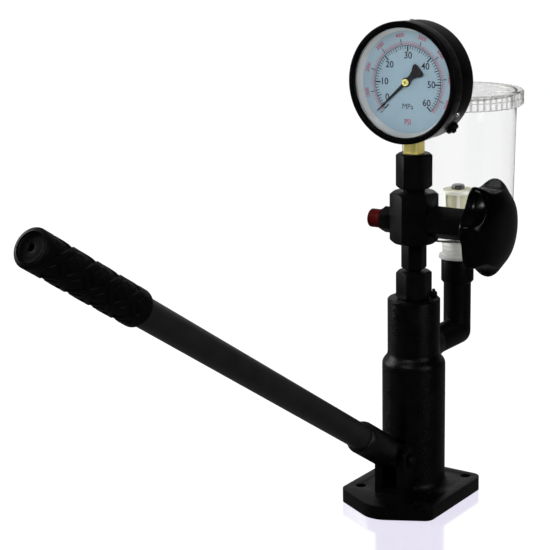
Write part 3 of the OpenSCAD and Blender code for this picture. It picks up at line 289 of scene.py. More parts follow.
# Two moulded pieces whose colour goes by the distance from the cup's axis: the filter's olive gauze inside
# its white bars, and painted shade in the hollows between the lid's ribs
def axisFinish(name, look):
    finish, tree, shader = newFinish(name)
    coords = objectCoords(tree)
    apart = tree.nodes.new("ShaderNodeSeparateXYZ")
    tree.links.new(coords, apart.inputs["Vector"])
    across = maths(tree, "SUBTRACT", apart.outputs["Y"], look["axisY"] * mm)
    squareX = maths(tree, "POWER", apart.outputs["X"], 2)
    square = maths(tree, "ADD", squareX, maths(tree, "POWER", across, 2))
    reach = maths(tree, "POWER", square, 0.5)
    outer = spread(tree, reach, 0, 1, look["from"] * mm, look["to"] * mm)
    if "topZ" in look:
        above = maths(tree, "GREATER_THAN", apart.outputs["Z"], look["topZ"] * mm)
        within = maths(tree, "LESS_THAN", reach, look["inside"] * mm)
        outer = maths(tree, "MAXIMUM", outer, maths(tree, "MAXIMUM", above, within))
    patches = noise(tree, coords, look["patchScale"])
    raised = blendColour(tree, spread(tree, patches, 0, 1), look["raisedDark"], look["raised"])
    gauze = noise(tree, coords, look["gauzeScale"], noiseDetail["gauze"])
    # sunk colour: the filter's real olive gauze, and painted shade in the hollows between the lid's ribs
    gauzeAndRibShade = blendColour(tree, gauze, look["gauzeAndRibShadeDark"], look["gauzeAndRibShade"])
    tree.links.new(blendColour(tree, outer, gauzeAndRibShade, raised), shader.inputs["Base Color"])
    tree.links.new(spread(tree, patches, *look["rough"]), shader.inputs["Roughness"])
    shader.inputs["Transmission Weight"].default_value = look["clear"]
    shader.inputs["IOR"].default_value = look["bend"]
    grain = noise(tree, coords, look["grain"], noiseDetail["mould"])
    tree.links.new(bump(tree, grain, look["grainBump"], grainDepth), shader.inputs["Normal"])
    return finish


axisLooks = {
    "filterPlastic": {      # olive gauze between white bars
        "axisY": 78, "from": 13.0, "to": 13.3, "raised": (0.8, 0.79, 0.73), "raisedDark": (0.7, 0.69, 0.62),
        "gauzeAndRibShade": (0.6, 0.58, 0.43), "gauzeAndRibShadeDark": (0.42, 0.4, 0.28), "clear": 0.0, "bend": 1.4,
        "patchScale": 70, "gauzeScale": 2400, "grain": 1600, "grainBump": 0.2, "rough": (0.4, 0.55)},
    "lidPlastic": {         # cloudy lid with painted shade in the hollows between its ribs
        "axisY": 78, "from": 55.7, "to": 56.3, "topZ": 351.2, "inside": 53.5,
        "raised": (1, 1, 1), "raisedDark": (0.97, 0.97, 0.97),
        # sunk colours here are painted shade in the hollows between the ribs
        "gauzeAndRibShade": (0.5, 0.5, 0.49), "gauzeAndRibShadeDark": (0.22, 0.22, 0.21), "clear": 0.92, "bend": 1.06,
        "patchScale": 70, "gauzeScale": 2400, "grain": 500, "grainBump": 0.2, "rough": (0.18, 0.32)},
}
finishes.update({name: axisFinish(name, look) for name, look in axisLooks.items()})
print("finishes mixed:", len(finishes))


# CAD nodes whose form is right get a finish, and a copy with eased edges where an edge shows
nodeFinish = {
    "castBlack": ["pump_body"],
    "headBlack": ["lever_head"],
    "satinBlack": ["delivery_union", "delivery_nipple", "valve_block", "gauge_adaptor", "valve_gland",
                   "outlet_union", "feed_elbow", "vent_screw", "pivot_pin", "pivot_clips"],
    "gaugeBlack": ["gauge_case", "gauge_bezel"],
    "tubeBlack": ["lever_tube"],
    "gripRubber": ["lever_grip", "blowout_plug"],
    "wheelPlastic": ["hand_wheel"],
    "redPlastic": ["outlet_cap"],
    "whitePlastic": ["lid_seal", "gland_packing"],
    "filterPlastic": ["filter_body"],
    "ringPlastic": ["dial_ring"],
    "darkSteel": ["valve_spindle", "filter_screw"],
    "brightSteel": ["tappet", "plunger", "plunger_spring", "pump_barrel", "delivery_valve", "delivery_spring",
                    "gauge_link", "valve_ball", "case_screws"],
    "brass": ["gauge_stem", "pointer_arbor", "sector_gear", "bourdon_tube", "movement_frame"],
    "dialFace": ["gauge_dial"],
    "pointerBlack": ["gauge_pointer"],
    "gaugeGlass": ["gauge_glass"],
    "clearPlastic": ["oil_cup"],
    "lidPlastic": ["cup_lid"],
    "hazyPlastic": ["cup_seal"],
}
easedEdges = {     # width of the rounding, mm
    "pump_body": 0.9, "lever_head": 0.6, "delivery_union": 0.35, "delivery_nipple": 0.35, "valve_block": 0.4,
    "gauge_adaptor": 0.35, "valve_gland": 0.35, "outlet_union": 0.3, "gauge_case": 0.4, "gauge_bezel": 0.4,
    "outlet_cap": 0.35, "gauge_stem": 0.3, "filter_body": 0.25, "filter_screw": 0.3, "vent_screw": 0.3,
    "feed_elbow": 0.4, "cup_seal": 0.3, "pivot_pin": 0.2, "pivot_clips": 0.15, "case_screws": 0.2,
    "blowout_plug": 0.3,
}
easing = {"merge": 0.000004, "flat": 0.8, "sharp": 28, "segments": 3, "smooth": 38}     # metres, degrees


def pick(piece):
    if bpy.context.mode != "OBJECT":
        bpy.ops.object.mode_set(mode="OBJECT")
    bpy.ops.object.select_all(action="DESELECT")
    piece.select_set(True)
    bpy.context.view_layer.objects.active = piece


def cadCopy(nodeName, pieceName):
    source = nodes[nodeName]
    piece = bpy.data.objects.new(pieceName, source.data.copy())
    bpy.context.scene.collection.objects.link(piece)
    pick(piece)
    if piece.data.has_custom_normals:
        bpy.ops.mesh.customdata_custom_splitnormals_clear()
    bpy.ops.object.mode_set(mode="EDIT")
    bpy.ops.mesh.select_all(action="SELECT")
    bpy.ops.mesh.remove_doubles(threshold=easing["merge"])
    bpy.ops.object.mode_set(mode="OBJECT")
    return piece


def finishPiece(piece, body, finishName):
    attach(piece, body)
    piece.data.materials.clear()
    piece.data.materials.append(finishes[finishName])


def standFor(piece, nodeName, finishName):
    finishPiece(piece, nodes[nodeName]["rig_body"], finishName)
    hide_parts(nodeName)


def easedCopy(nodeName, finishName, width):
    piece = cadCopy(nodeName, nodeName + "_eased")
    bpy.ops.object.mode_set(mode="EDIT")
    bpy.ops.mesh.select_all(action="SELECT")
    bpy.ops.mesh.dissolve_limited(angle_limit=math.radians(easing["flat"]))
    bpy.ops.object.mode_set(mode="OBJECT")
    edge = piece.modifiers.new("edge", "BEVEL")
    edge.width = width * mm
    edge.segments = easing["segments"]
    edge.limit_method = "ANGLE"
    edge.angle_limit = math.radians(easing["sharp"])
    edge.use_clamp_overlap = True
    bpy.ops.object.modifier_apply(modifier=edge.name)
    bpy.ops.object.shade_smooth_by_angle(angle=math.radians(easing["smooth"]))
    standFor(piece, nodeName, finishName)


for finishName, names in nodeFinish.items():
    for nodeName in names:
        node = nodes[nodeName]
        node.data.materials.clear()
        node.data.materials.append(finishes[finishName])
        if nodeName in easedEdges:
            easedCopy(nodeName, finishName, easedEdges[nodeName])
print("CAD nodes finished,", len(easedEdges), "with eased edges")


# Springs, which on the real pump shorten towards their fixed end as their valve or plunger lifts, in mm; here
# each is only copied and shaded smooth, and joint, lift and fixedZ are not used
springs = {
    "plunger_spring": {"joint": "plunger_lift", "lift": 17.051, "fixedZ": 99.9, "smooth": 60},
    "delivery_spring": {"joint": "delivery_valve_lift", "lift": 1.5, "fixedZ": 187.9, "smooth": 60},
}


def woundSpring(nodeName, look):
    piece = cadCopy(nodeName, nodeName + "_wound")
    bpy.ops.object.shade_smooth_by_angle(angle=math.radians(look["smooth"]))
    standFor(piece, nodeName, "brightSteel")
    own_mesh(piece)


for nodeName, look in springs.items():
    woundSpring(nodeName, look)
print("springs wound:", len(springs))


# A tube of rows round the Z axis: one unit high per row, ready to be shaped row by row
def ringSheet(name, sides, rows):
    bpy.ops.object.select_all(action="DESELECT")
    bpy.ops.mesh.primitive_circle_add(vertices=sides, radius=1, location=(0, 0, 0))
    piece = bpy.context.active_object
    piece.name = name
    piece.data.name = name
    bpy.ops.object.mode_set(mode="EDIT")
    bpy.ops.mesh.select_all(action="SELECT")
    for row in range(1, rows):
        bpy.ops.mesh.extrude_region_move(TRANSFORM_OT_translate={"value": (0, 0, 1)})
    bpy.ops.object.mode_set(mode="OBJECT")
    return piece


def shapeRows(piece, spot):
    for vertex in piece.data.vertices:
        angle = math.atan2(vertex.co.y, vertex.co.x)
        vertex.co = spot(angle, round(vertex.co.z))


skinMerge = 0.000002        # metres


def closeSkin(piece, place, smooth=40):
    pick(piece)
    bpy.ops.object.mode_set(mode="EDIT")
    bpy.ops.mesh.select_all(action="SELECT")
    bpy.ops.mesh.remove_doubles(threshold=skinMerge)
    bpy.ops.mesh.delete_loose(use_verts=True, use_edges=True, use_faces=False)
    bpy.ops.mesh.select_all(action="SELECT")
    bpy.ops.mesh.normals_make_consistent(inside=False)
    bpy.ops.object.mode_set(mode="OBJECT")
    piece.matrix_world = place
    bpy.ops.object.transform_apply(location=True, rotation=True, scale=True)
    bpy.ops.object.shade_smooth_by_angle(angle=math.radians(smooth))


def turned(name, stations, sides, place, smooth=40):
    piece = ringSheet(name, sides, len(stations))
    shapeRows(piece, lambda angle, row: (stations[row][0] * mm * math.cos(angle),
                                         stations[row][0] * mm * math.sin(angle), stations[row][1] * mm))
    closeSkin(piece, place, smooth)
    return piece


def arcStations(centre, radius, start, end, steps):
    turns = [math.radians(start + (end - start) * step / steps) for step in range(steps + 1)]
    return [(centre[0] + radius * math.cos(turn), centre[1] + radius * math.sin(turn)) for turn in turns]


# Rubber grip: plain bands at its ends, crossing ribs and raised pads between
gripShape = {
    "start": 398, "end": 515, "radius": 13.9, "tubeRadius": 11.05, "holeRadius": 2.2, "endThickness": 2.9,
    "bandStart": 10, "bandEnd": 8, "bandPlain": (7, 4.5), "bandGap": 1, "bandFade": 1.6,
    "mouth": [(0, 1), (0.4, 0)],                 # out from the tube, along from the start
    "startRound": 3.2, "startArc": (-80, 0, 7), "endRound": 2.2, "endArc": (0, 90, 6),     # degrees, steps
    "lipIn": 4.4, "lipRound": 1.2, "lipArc": (20, -90, 4),
    "dish": (7, 1.1),                            # radius, depth below the end
    "hole": [(1, 0.9), (0.3, 1.1), (0, 1.6)],    # out from the hole, depth below the end
    "ground": 12.9, "ribStarts": 4, "ribPitch": 25.7, "ribHalf": 1.9, "ribSoft": 0.9,
    "padGap": 3.7, "padSoft": 0.9, "padShare": 0.8, "rows": 176, "sides": 240, "smooth": 50,
    "pivot": (0, -30, 43), "lean": 58.1,     # lever's axis, degrees from upright
}


def softStep(value, low, high):
    share = min(1, max(0, (value - low) / (high - low)))
    return share * share * (3 - 2 * share)


def ribHeight(shape, angle, along):
    slope = math.hypot(shape["ribStarts"] / shape["radius"], 2 * math.pi / shape["ribPitch"])
    gaps = []
    for side in (1, -1):
        phase = shape["ribStarts"] * angle + side * 2 * math.pi * along / shape["ribPitch"]
        gaps.append(abs((phase + math.pi) % (2 * math.pi) - math.pi) / slope)
    near, ease = min(gaps), shape["ribSoft"] / 2
    rib = 1 - softStep(near, shape["ribHalf"] - ease, shape["ribHalf"] + ease)
    pad = softStep(near, shape["padGap"], shape["padGap"] + shape["padSoft"]) * shape["padShare"]
    return max(rib, pad)


def makeGrip(shape):
    start, end, radius = shape["start"], shape["end"], shape["radius"]
    low, high = start + shape["bandStart"], end - shape["bandEnd"]
    inside = end - shape["endThickness"]
    startRound, endRound = shape["startRound"], shape["endRound"]
    startPlain, endPlain = shape["bandPlain"]
    fadeLength = shape["bandFade"]
    stations = [(shape["tubeRadius"], inside)]
    stations += [(shape["tubeRadius"] + out, start + along) for out, along in shape["mouth"]]
    stations += arcStations((radius - startRound, start + startRound), startRound, *shape["startArc"])
    stations += [(radius, start + startPlain), (radius, low - shape["bandGap"])]
    first = len(stations)
    stations += [(0, low + (high - low) * row / (shape["rows"] - 1)) for row in range(shape["rows"])]
    last = len(stations) - 1
    stations += [(radius, high + shape["bandGap"]), (radius, end - endPlain)]
    stations += arcStations((radius - endRound, end - endRound), endRound, *shape["endArc"])
    stations += arcStations((radius - shape["lipIn"], end), shape["lipRound"], *shape["lipArc"])
    stations += [(shape["dish"][0], end - shape["dish"][1])]
    stations += [(shape["holeRadius"] + out, end - depth) for out, depth in shape["hole"]]
    stations += [(shape["holeRadius"], inside), (shape["tubeRadius"], inside)]

    def spot(angle, row):
        reach, along = stations[row]
        if first <= row <= last:
            fade = min(softStep(along, low, low + fadeLength), softStep(high - along, 0, fadeLength))
            raised = 1 - fade * (1 - ribHeight(shape, angle, along - start))
            reach = shape["ground"] + (radius - shape["ground"]) * raised
        return (reach * mm * math.cos(angle), reach * mm * math.sin(angle), along * mm)

    piece = ringSheet("grip_moulded", shape["sides"], len(stations))
    shapeRows(piece, spot)
    lean = Matrix.Rotation(math.radians(shape["lean"]), 4, "X")
    closeSkin(piece, Matrix.Translation(Vector(shape["pivot"]) * mm) @ lean, shape["smooth"])
    standFor(piece, "lever_grip", "gripRubber")


makeGrip(gripShape)
print("grip moulded")


# Hand wheel: seven rounded lobes with a finger grip scooped between each two, a domed face, and a back
# that is hollow round a hub
wheelShape = {
    "axisZ": 248.6, "back": 58.5, "bore": 4.2, "boreEnd": 71, "hub": 12, "web": 67, "rimIn": 26.5,
    "edge": 0.8, "join": 30, "rimBack": 63, "backRound": 0.66, "crownX": 70,
    "faceX": 65, "apex": 87.2, "radius": 42.8, "roundness": 2.5,
    "lobes": 7, "turn": 9.7,
    "scoopBackX": 65, "scoopBack": 34, "scoopFrontX": 82, "scoopFront": 31.6, "land": 1.6,
    "soft": (2.4, 0.9), "softFall": 0.2,
    "partX": 71, "partLine": 0.25, "partHalf": 0.45,
    "sidesPerLobe": 36, "backRows": 16, "frontRows": 60, "smooth": 50,
}


def softMin(first, second, blend):
    near = max(0, blend - abs(first - second)) / blend
    return min(first, second) - near * near * blend / 4


def makeWheel(shape):
    pitch = 2 * math.pi / shape["lobes"]
    turn = math.radians(shape["turn"])
    power = 2 / shape["roundness"]
    faceShare = (shape["crownX"] - shape["faceX"]) / (shape["apex"] - shape["faceX"])
    faceStart = math.asin(faceShare ** (1 / power))
    crestReach = shape["radius"] * math.cos(faceStart) ** power

    def scoopAt(angle, x, crest):        # a hollow between each two lobes, deepest half way
        along = (x - shape["scoopBackX"]) / (shape["scoopFrontX"] - shape["scoopBackX"])
        floor = shape["scoopBack"] + (shape["scoopFront"] - shape["scoopBack"]) * along
        rise = max(0, crest + shape["land"] - floor)
        off = ((angle - turn) % pitch - pitch / 2) / (pitch / 2)
        groove = shape["partLine"] * math.exp(-((x - shape["partX"]) / shape["partHalf"]) ** 2)
        return floor + rise * off * off - groove

    def crownAt(bend):            # from the back of the rim round its crown to the middle of the face
        if bend < 0:
            out = max(0, math.cos(bend)) ** shape["backRound"]
            aside = (-math.sin(bend)) ** shape["backRound"]
            return (shape["join"] + (crestReach - shape["join"]) * out,
                    shape["crownX"] - aside * (shape["crownX"] - shape["rimBack"]))
        turnOn = faceStart + (math.pi / 2 - faceStart) * bend / (math.pi / 2)
        return (shape["radius"] * max(0, math.cos(turnOn)) ** power,
                shape["faceX"] + (shape["apex"] - shape["faceX"]) * math.sin(turnOn) ** power)

    edge, hub, web, rimIn = shape["edge"], shape["hub"], shape["web"], shape["rimIn"]
    back = [(0, shape["boreEnd"]), (shape["bore"], shape["boreEnd"]), (shape["bore"], shape["back"]),
            (hub - edge, shape["back"]), (hub, shape["back"] + edge), (hub, web - edge), (hub + edge, web),
            (rimIn - edge, web), (rimIn, web - edge),
            (rimIn, shape["rimBack"] + edge), (rimIn + edge, shape["rimBack"])]
    bends = [math.pi / 2 * (row / shape["backRows"] - 1) for row in range(shape["backRows"])]
    bends += [math.pi / 2 * row / shape["frontRows"] for row in range(shape["frontRows"] + 1)]

    def spot(angle, row):
        if row < len(back):
            reach, x = back[row]
        else:
            bend = bends[row - len(back)]
            crown, x = crownAt(bend)
            crest = crestReach if bend < 0 else crown
            past = max(0, x - shape["crownX"])
            soft = max(shape["soft"][1], shape["soft"][0] - past * shape["softFall"])
            reach = softMin(crown, scoopAt(angle, x, crest), soft)
        if row == len(back) + len(bends) - 1:
            reach = 0
        return (x * mm, -reach * mm * math.cos(angle), (shape["axisZ"] + reach * math.sin(angle)) * mm)

    piece = ringSheet("wheel_moulded", shape["lobes"] * shape["sidesPerLobe"], len(back) + len(bends))
    shapeRows(piece, spot)
    closeSkin(piece, Matrix.Identity(4), shape["smooth"])
    standFor(piece, "hand_wheel", "wheelPlastic")


makeWheel(wheelShape)
print("hand wheel moulded")


# Clear oil cup on a ribbed hazy neck, and its ribbed lid
cupShape = {
    "axisY": 78, "bore": 6, "spigot": 10.9, "spigotLength": 14,
    "neckZ": 202.8, "neck": 13.9, "neckEase": 0.4, "neckPlain": 1, "neckRib": 0.45,
    "neckRibs": 4, "rowsPerRib": 8, "floorZ": 218.8, "fillet": (0.5, 0.1), "slope": 3, "foot": 48.5,
    "edge": 9, "edgeTurn": 84, "edgeRows": (12, 10),
    "wall": 2.5, "wallRows": 5, "rim": 50.7, "rimZ": 346.8, "rimEase": (0.2, 0.1), "rimRound": 0.6,
    "seat": 14.8, "hazeTop": 1, "sides": 180, "smooth": 35,
}
lidShape = {
    "axisY": 78, "low": 337.8, "bore": 51.3, "boreEase": 0.5, "core": 55.5, "coreEase": 0.6, "top": 351.8,
    "ribs": 60, "ribHeight": 1.2, "ribLow": 1, "ribTop": 1.6, "ribRows": 40, "sidesPerRib": 10,
    "ribSide": (0.24, 0.36),                 # shares of the pitch where a rib's side falls away
    "groove": (0.2, 0.7),                    # round the middle of the ribs
    "shoulder": [(0, 1.2), (0.3, 0.5)],      # in from the core, down from the top
    "crown": 3.5, "crownIn": 3, "crownRows": 10, "under": 347.8, "smooth": 40,
}


def makeCup(shape):
    bore, spigot, neck = shape["bore"], shape["spigot"], shape["neck"]
    neckZ, neckTop = shape["neckZ"], shape["floorZ"]
    low = neckZ - shape["spigotLength"]
    out = shape["foot"] - shape["edge"]
    edgeZ = neckTop + shape["slope"] + shape["edge"]
    rim, rimZ, wall, rimRound = shape["rim"], shape["rimZ"], shape["wall"], shape["rimRound"]
    stations = [(bore, low), (spigot, low), (spigot, neckZ), (neck - shape["neckEase"], neckZ)]
    ribRows = shape["rowsPerRib"] * shape["neckRibs"]
    ribLength = neckTop - neckZ - shape["neckPlain"]
    for row in range(ribRows + 1):
        wave = 0.5 - 0.5 * math.cos(2 * math.pi * row * shape["neckRibs"] / ribRows)
        reach = neck - shape["neckRib"] * (1 - wave)
        stations.append((reach, neckZ + shape["neckEase"] + ribLength * row / ribRows))
    stations += [(neck + shape["fillet"][0], neckTop + shape["fillet"][1])]
    stations += arcStations((out, edgeZ), shape["edge"], -shape["edgeTurn"], 0, shape["edgeRows"][0])
    for step in range(1, shape["wallRows"] + 1):
        share = step / shape["wallRows"]
        reach = shape["foot"] + (rim - shape["foot"]) * share
        stations.append((reach, edgeZ + (rimZ - rimRound - edgeZ) * share))
    stations += [(rim - shape["rimEase"][0], rimZ - shape["rimEase"][1]), (rim - rimRound, rimZ),
                 (rim - wall + rimRound, rimZ), (rim - wall, rimZ - rimRound)]
    stations += arcStations((out, edgeZ), shape["edge"] - wall, 0, -shape["edgeTurn"], shape["edgeRows"][1])
    stations += [(shape["seat"], neckTop + wall), (bore, neckTop + wall), (bore, low)]
    place = Matrix.Translation((0, shape["axisY"] * mm, 0))
    piece = turned("cup_moulded", stations, shape["sides"], place, shape["smooth"])
    standFor(piece, "oil_cup", "clearPlastic")
    piece.data.materials.append(finishes["hazyPlastic"])
    for face in piece.data.polygons:
        if face.center.z < (neckTop + shape["hazeTop"]) * mm:
            face.material_index = 1


def makeLid(shape):
    low, top, bore, core = shape["low"], shape["top"], shape["bore"], shape["core"]
    boreEase, coreEase = shape["boreEase"], shape["coreEase"]
    ribLow = low + shape["ribLow"]
    ribLength = top - shape["ribTop"] - ribLow
    edge = core - shape["crownIn"]
    skirt = [(bore, low + boreEase), (bore + boreEase, low), (core - coreEase, low), (core, low + coreEase)]
    ribZ = [ribLow + ribLength * step / shape["ribRows"] for step in range(shape["ribRows"] + 1)]
    shoulder = [(core - inward, top - down) for inward, down in shape["shoulder"]]
    crown = []
    for step in range(shape["crownRows"]):
        share = 1 - step / shape["crownRows"]
        crown.append((edge * share, top + shape["crown"] * (1 - share ** 2)))
    under = [(0, top + shape["crown"]), (0, shape["under"]), (bore - boreEase, shape["under"]),
             (bore, shape["under"] - boreEase), (bore, low + boreEase)]
    stations = skirt + [(core, z) for z in ribZ] + shoulder + crown + under
    pitch = 2 * math.pi / shape["ribs"]

    def spot(angle, row):
        reach, z = stations[row]
        if len(skirt) < row < len(skirt) + len(ribZ) - 1:
            off = abs((angle + pitch / 2) % pitch - pitch / 2) / pitch
            waist = abs(z - (low + top) / 2)
            rib = 1 - softStep(off, *shape["ribSide"])
            reach += shape["ribHeight"] * rib * softStep(waist, *shape["groove"])
        return (reach * mm * math.cos(angle), (shape["axisY"] + reach * math.sin(angle)) * mm, z * mm)

    piece = ringSheet("lid_moulded", shape["ribs"] * shape["sidesPerRib"], len(stations))
    shapeRows(piece, spot)
    closeSkin(piece, Matrix.Identity(4), shape["smooth"])
    standFor(piece, "cup_lid", "lidPlastic")


makeCup(cupShape)
makeLid(lidShape)
print("cup and lid moulded")


# Printed dial: figures, ticks and arcs just above the face
dialPrint = {
    "centre": (0.8, 366), "faceY": -11.3, "lift": 0.03, "ink": 0.04, "zero": 225, "sweep": 270,
    "arcWide": 0.5, "arcSteps": 135, "curveSteps": 4,
    "barMax": 60, "barTen": 10, "barFive": 5, "barEdge": 31.3,
    "barLong": (5.2, 3.9, 2.9), "barWide": (1.15, 0.75, 0.58),
    "figureSize": 7.8, "figureWide": 1.0, "figureWeight": 0.09,
    "figures": {0: (-19.7, -12.5), 10: (-22.5, 0.6), 20: (-17.4, 14.8), 30: (0.3, 23.0), 40: (16.8, 14.7),
                50: (22.4, -0.2), 60: (18.0, -15.5)},
    "redPerUnit": 31.03, "redUnits": 8, "redParts": 10, "redPast": 7, "redFigure": 1000,
    "redArc": 32.5, "redShort": 2.4, "redLong": 4.4, "redWide": (0.7, 0.4),
    "redRadius": 39.9, "redSize": 4.6, "redFigureWide": 0.9, "redWeight": 0.06,
    "unit": {"words": "MPa", "size": 6.6, "wide": 0.95, "drop": 19.4, "weight": 0},
    "redUnit": {"words": "PSI", "size": 6.6, "wide": 0.8, "drop": 32.4, "weight": 0.05},
}


def inkTick(angle, low, high, wide, look):
    turn = math.radians(angle)
    out = Vector((math.cos(turn), 0, math.sin(turn)))
    side = Vector((-math.sin(turn), 0, math.cos(turn)))
    middle = out * ((low + high) / 2)
    bpy.ops.mesh.primitive_cube_add(size=1, location=(0, 0, 0))
    tick = bpy.context.active_object
    front = look["faceY"] - look["lift"] - look["ink"] / 2
    centre = Vector((look["centre"][0], front, look["centre"][1]))
    depth = Vector((0, look["ink"] * mm, 0))
    basis = Matrix((out * (high - low) * mm, depth, side * wide * mm)).transposed()
    tick.matrix_world = Matrix.Translation((middle + centre) * mm) @ basis.to_4x4()
    return tick


def inkText(words, size, wide, weight, spot, turn, look):
    bpy.ops.object.text_add(location=(0, 0, 0))
    text = bpy.context.active_object
    text.data.body = words
    text.data.align_x = "CENTER"
    text.data.align_y = "CENTER"
    text.data.size = size * mm
    text.data.extrude = look["ink"] / 2 * mm
    text.data.offset = weight * mm
    text.data.resolution_u = look["curveSteps"]
    bpy.ops.object.convert(target="MESH")
    text = bpy.context.active_object
    upright = Matrix.Rotation(math.radians(turn), 4, "Z") @ Matrix.Diagonal((wide, 1, 1, 1))
    front = look["faceY"] - look["lift"] - look["ink"] / 2
    centreX, centreZ = look["centre"]
    place = Matrix.Translation(Vector((centreX + spot[0], front, centreZ + spot[1])) * mm)
    text.matrix_world = place @ Matrix.Rotation(math.radians(90), 4, "X") @ upright
    return text


def inkArc(radius, look):
    low, high = radius - look["arcWide"] / 2, radius + look["arcWide"] / 2
    back = look["faceY"] - look["lift"]
    front = back - look["ink"]
    centreX, centreZ = look["centre"]
    turn = math.radians(look["zero"])
    corners = ((low, back), (high, back), (low, front), (high, front))
    bpy.ops.mesh.primitive_plane_add(size=1, location=(0, 0, 0))
    arc = bpy.context.active_object
    for vertex, (reach, y) in zip(arc.data.vertices, corners):
        vertex.co = Vector((centreX + reach * math.cos(turn), y, centreZ + reach * math.sin(turn))) * mm
    bpy.ops.object.mode_set(mode="EDIT")
    bpy.ops.mesh.select_all(action="SELECT")
    bpy.ops.mesh.spin(steps=look["arcSteps"], angle=-math.radians(look["sweep"]),
                      center=(centreX * mm, 0, centreZ * mm), axis=(0, 1, 0))
    bpy.ops.object.mode_set(mode="OBJECT")
    return arc


def joinParts(parts, name):
    bpy.ops.object.select_all(action="DESELECT")
    for part in parts:
        part.select_set(True)
    bpy.context.view_layer.objects.active = parts[0]
    bpy.ops.object.transform_apply(location=True, rotation=True, scale=True)
    bpy.ops.object.join()
    piece = bpy.context.active_object
    piece.name = name
    piece.data.name = name
    bpy.ops.object.mode_set(mode="EDIT")
    bpy.ops.mesh.select_all(action="SELECT")
    bpy.ops.mesh.normals_make_consistent(inside=False)
    bpy.ops.object.mode_set(mode="OBJECT")
    return piece


def makeDialPrint(look):
    bpy.ops.object.select_all(action="DESELECT")
    edge, redArc = look["barEdge"], look["redArc"]
    black = [inkArc(edge, look)]
    red = [inkArc(redArc, look)]
    for step in range(look["barMax"] + 1):
        angle = look["zero"] - look["sweep"] * step / look["barMax"]
        kind = 0 if step % look["barTen"] == 0 else 1 if step % look["barFive"] == 0 else 2
        black.append(inkTick(angle, edge - look["barLong"][kind], edge, look["barWide"][kind], look))
    for figure, spot in look["figures"].items():
        size, wide, weight = look["figureSize"], look["figureWide"], look["figureWeight"]
        black.append(inkText(str(figure), size, wide, weight, spot, 0, look))
    parts = look["redParts"]
    for step in range(look["redUnits"] * parts + look["redPast"]):
        angle = look["zero"] - look["redPerUnit"] * step / parts
        if step % parts:
            red.append(inkTick(angle, redArc, redArc + look["redShort"], look["redWide"][1], look))
            continue
        black.append(inkTick(angle, redArc, redArc + look["redLong"], look["redWide"][0], look))
        if step:
            turn = math.radians(angle)
            spot = (look["redRadius"] * math.cos(turn), look["redRadius"] * math.sin(turn))
            words = str(step // parts * look["redFigure"])
            size, wide, weight = look["redSize"], look["redFigureWide"], look["redWeight"]
            red.append(inkText(words, size, wide, weight, spot, angle - 90, look))
    for unit, prints in ((look["unit"], black), (look["redUnit"], red)):
        spot = (0, -unit["drop"])
        prints.append(inkText(unit["words"], unit["size"], unit["wide"], unit["weight"], spot, 0, look))
    body = nodes["gauge_dial"]["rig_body"]
    finishPiece(joinParts(black, "dial_black_print"), body, "dialInk")
    finishPiece(joinParts(red, "dial_red_print"), body, "redInk")


makeDialPrint(dialPrint)
print("dial printed")


# Pointer with a flared tail, the cross in its brass cap, and the stop pin beside its tip
pointerShape = {
    "centreZ": 367, "turn": 222, "back": 12.5, "thick": 0.5,
    "halves": [(37.5, 0.35), (4, 1.5), (-3, 2.3), (-7, 2.5), (-10.5, 3.7), (-13.3, 5.6), (-15.2, 6.3),
               (-16.9, 5.6), (-17.6, 3)],       # along, half width
    "hub": [(1.1, 12.1), (3.6, 12.1), (4, 12.4), (4, 13.3), (3.6, 13.6), (1.1, 13.6), (1.1, 12.1)],
    "hubSides": 48, "capFront": 14.8, "crossLong": 3.4, "crossWide": 0.55, "crossThick": 0.06,
    "crossTurns": (25, 115),                    # degrees on from the pointer
    "pin": [(0, 11.3), (0.75, 11.3), (0.75, 13.3), (0.55, 13.5), (0, 13.5)],
    "pinSides": 24, "pinReach": 33.4, "pinTurn": 226.5,
}


def makePointer(shape):
    dialPlace = Matrix.Translation((0, 0, shape["centreZ"] * mm)) @ Matrix.Rotation(math.radians(90), 4, "X")
    outline = shape["halves"] + [(along, -half) for along, half in reversed(shape["halves"])]
    turn = Matrix.Rotation(math.radians(shape["turn"]), 4, "Z")
    bpy.ops.object.select_all(action="DESELECT")
    bpy.ops.mesh.primitive_circle_add(vertices=len(outline), radius=1, fill_type="NGON", location=(0, 0, 0))
    plate = bpy.context.active_object
    for vertex, (along, half) in zip(plate.data.vertices, outline):
        vertex.co = Vector((along, half, shape["back"])) * mm
    bpy.ops.object.mode_set(mode="EDIT")
    bpy.ops.mesh.select_all(action="SELECT")
    bpy.ops.mesh.extrude_region_move(TRANSFORM_OT_translate={"value": (0, 0, shape["thick"] * mm)})
    bpy.ops.mesh.select_all(action="SELECT")
    bpy.ops.mesh.normals_make_consistent(inside=False)
    bpy.ops.object.mode_set(mode="OBJECT")
    plate.matrix_world = dialPlace @ turn
    hub = turned("pointer_hub", shape["hub"], shape["hubSides"], dialPlace)
    standFor(joinParts([plate, hub], "pointer_pressed"), "gauge_pointer", "pointerBlack")

    bars = []
    for crossTurn in shape["crossTurns"]:
        across = Matrix.Rotation(math.radians(shape["turn"] + crossTurn), 4, "Z")
        bpy.ops.object.select_all(action="DESELECT")
        bpy.ops.mesh.primitive_cube_add(size=1, location=(0, 0, 0))
        bar = bpy.context.active_object
        sides = (shape["crossLong"] * mm, shape["crossWide"] * mm, shape["crossThick"] * mm)
        size = Matrix.Diagonal((*sides, 1))
        lift = Matrix.Translation((0, 0, shape["capFront"] * mm))
        bar.matrix_world = dialPlace @ across @ lift @ size
        bars.append(bar)
    cross = joinParts(bars, "pointer_cap_cross")
    finishPiece(cross, nodes["gauge_pointer"]["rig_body"], "pointerBlack")

    out, reach = math.radians(shape["pinTurn"]), shape["pinReach"] * mm
    pinPlace = Matrix.Translation((reach * math.cos(out), reach * math.sin(out), 0))
    pin = turned("pointer_stop_pin", shape["pin"], shape["pinSides"], dialPlace @ pinPlace)
    finishPiece(pin, nodes["gauge_dial"]["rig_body"], "brightSteel")


makePointer(pointerShape)
print("pointer pressed")


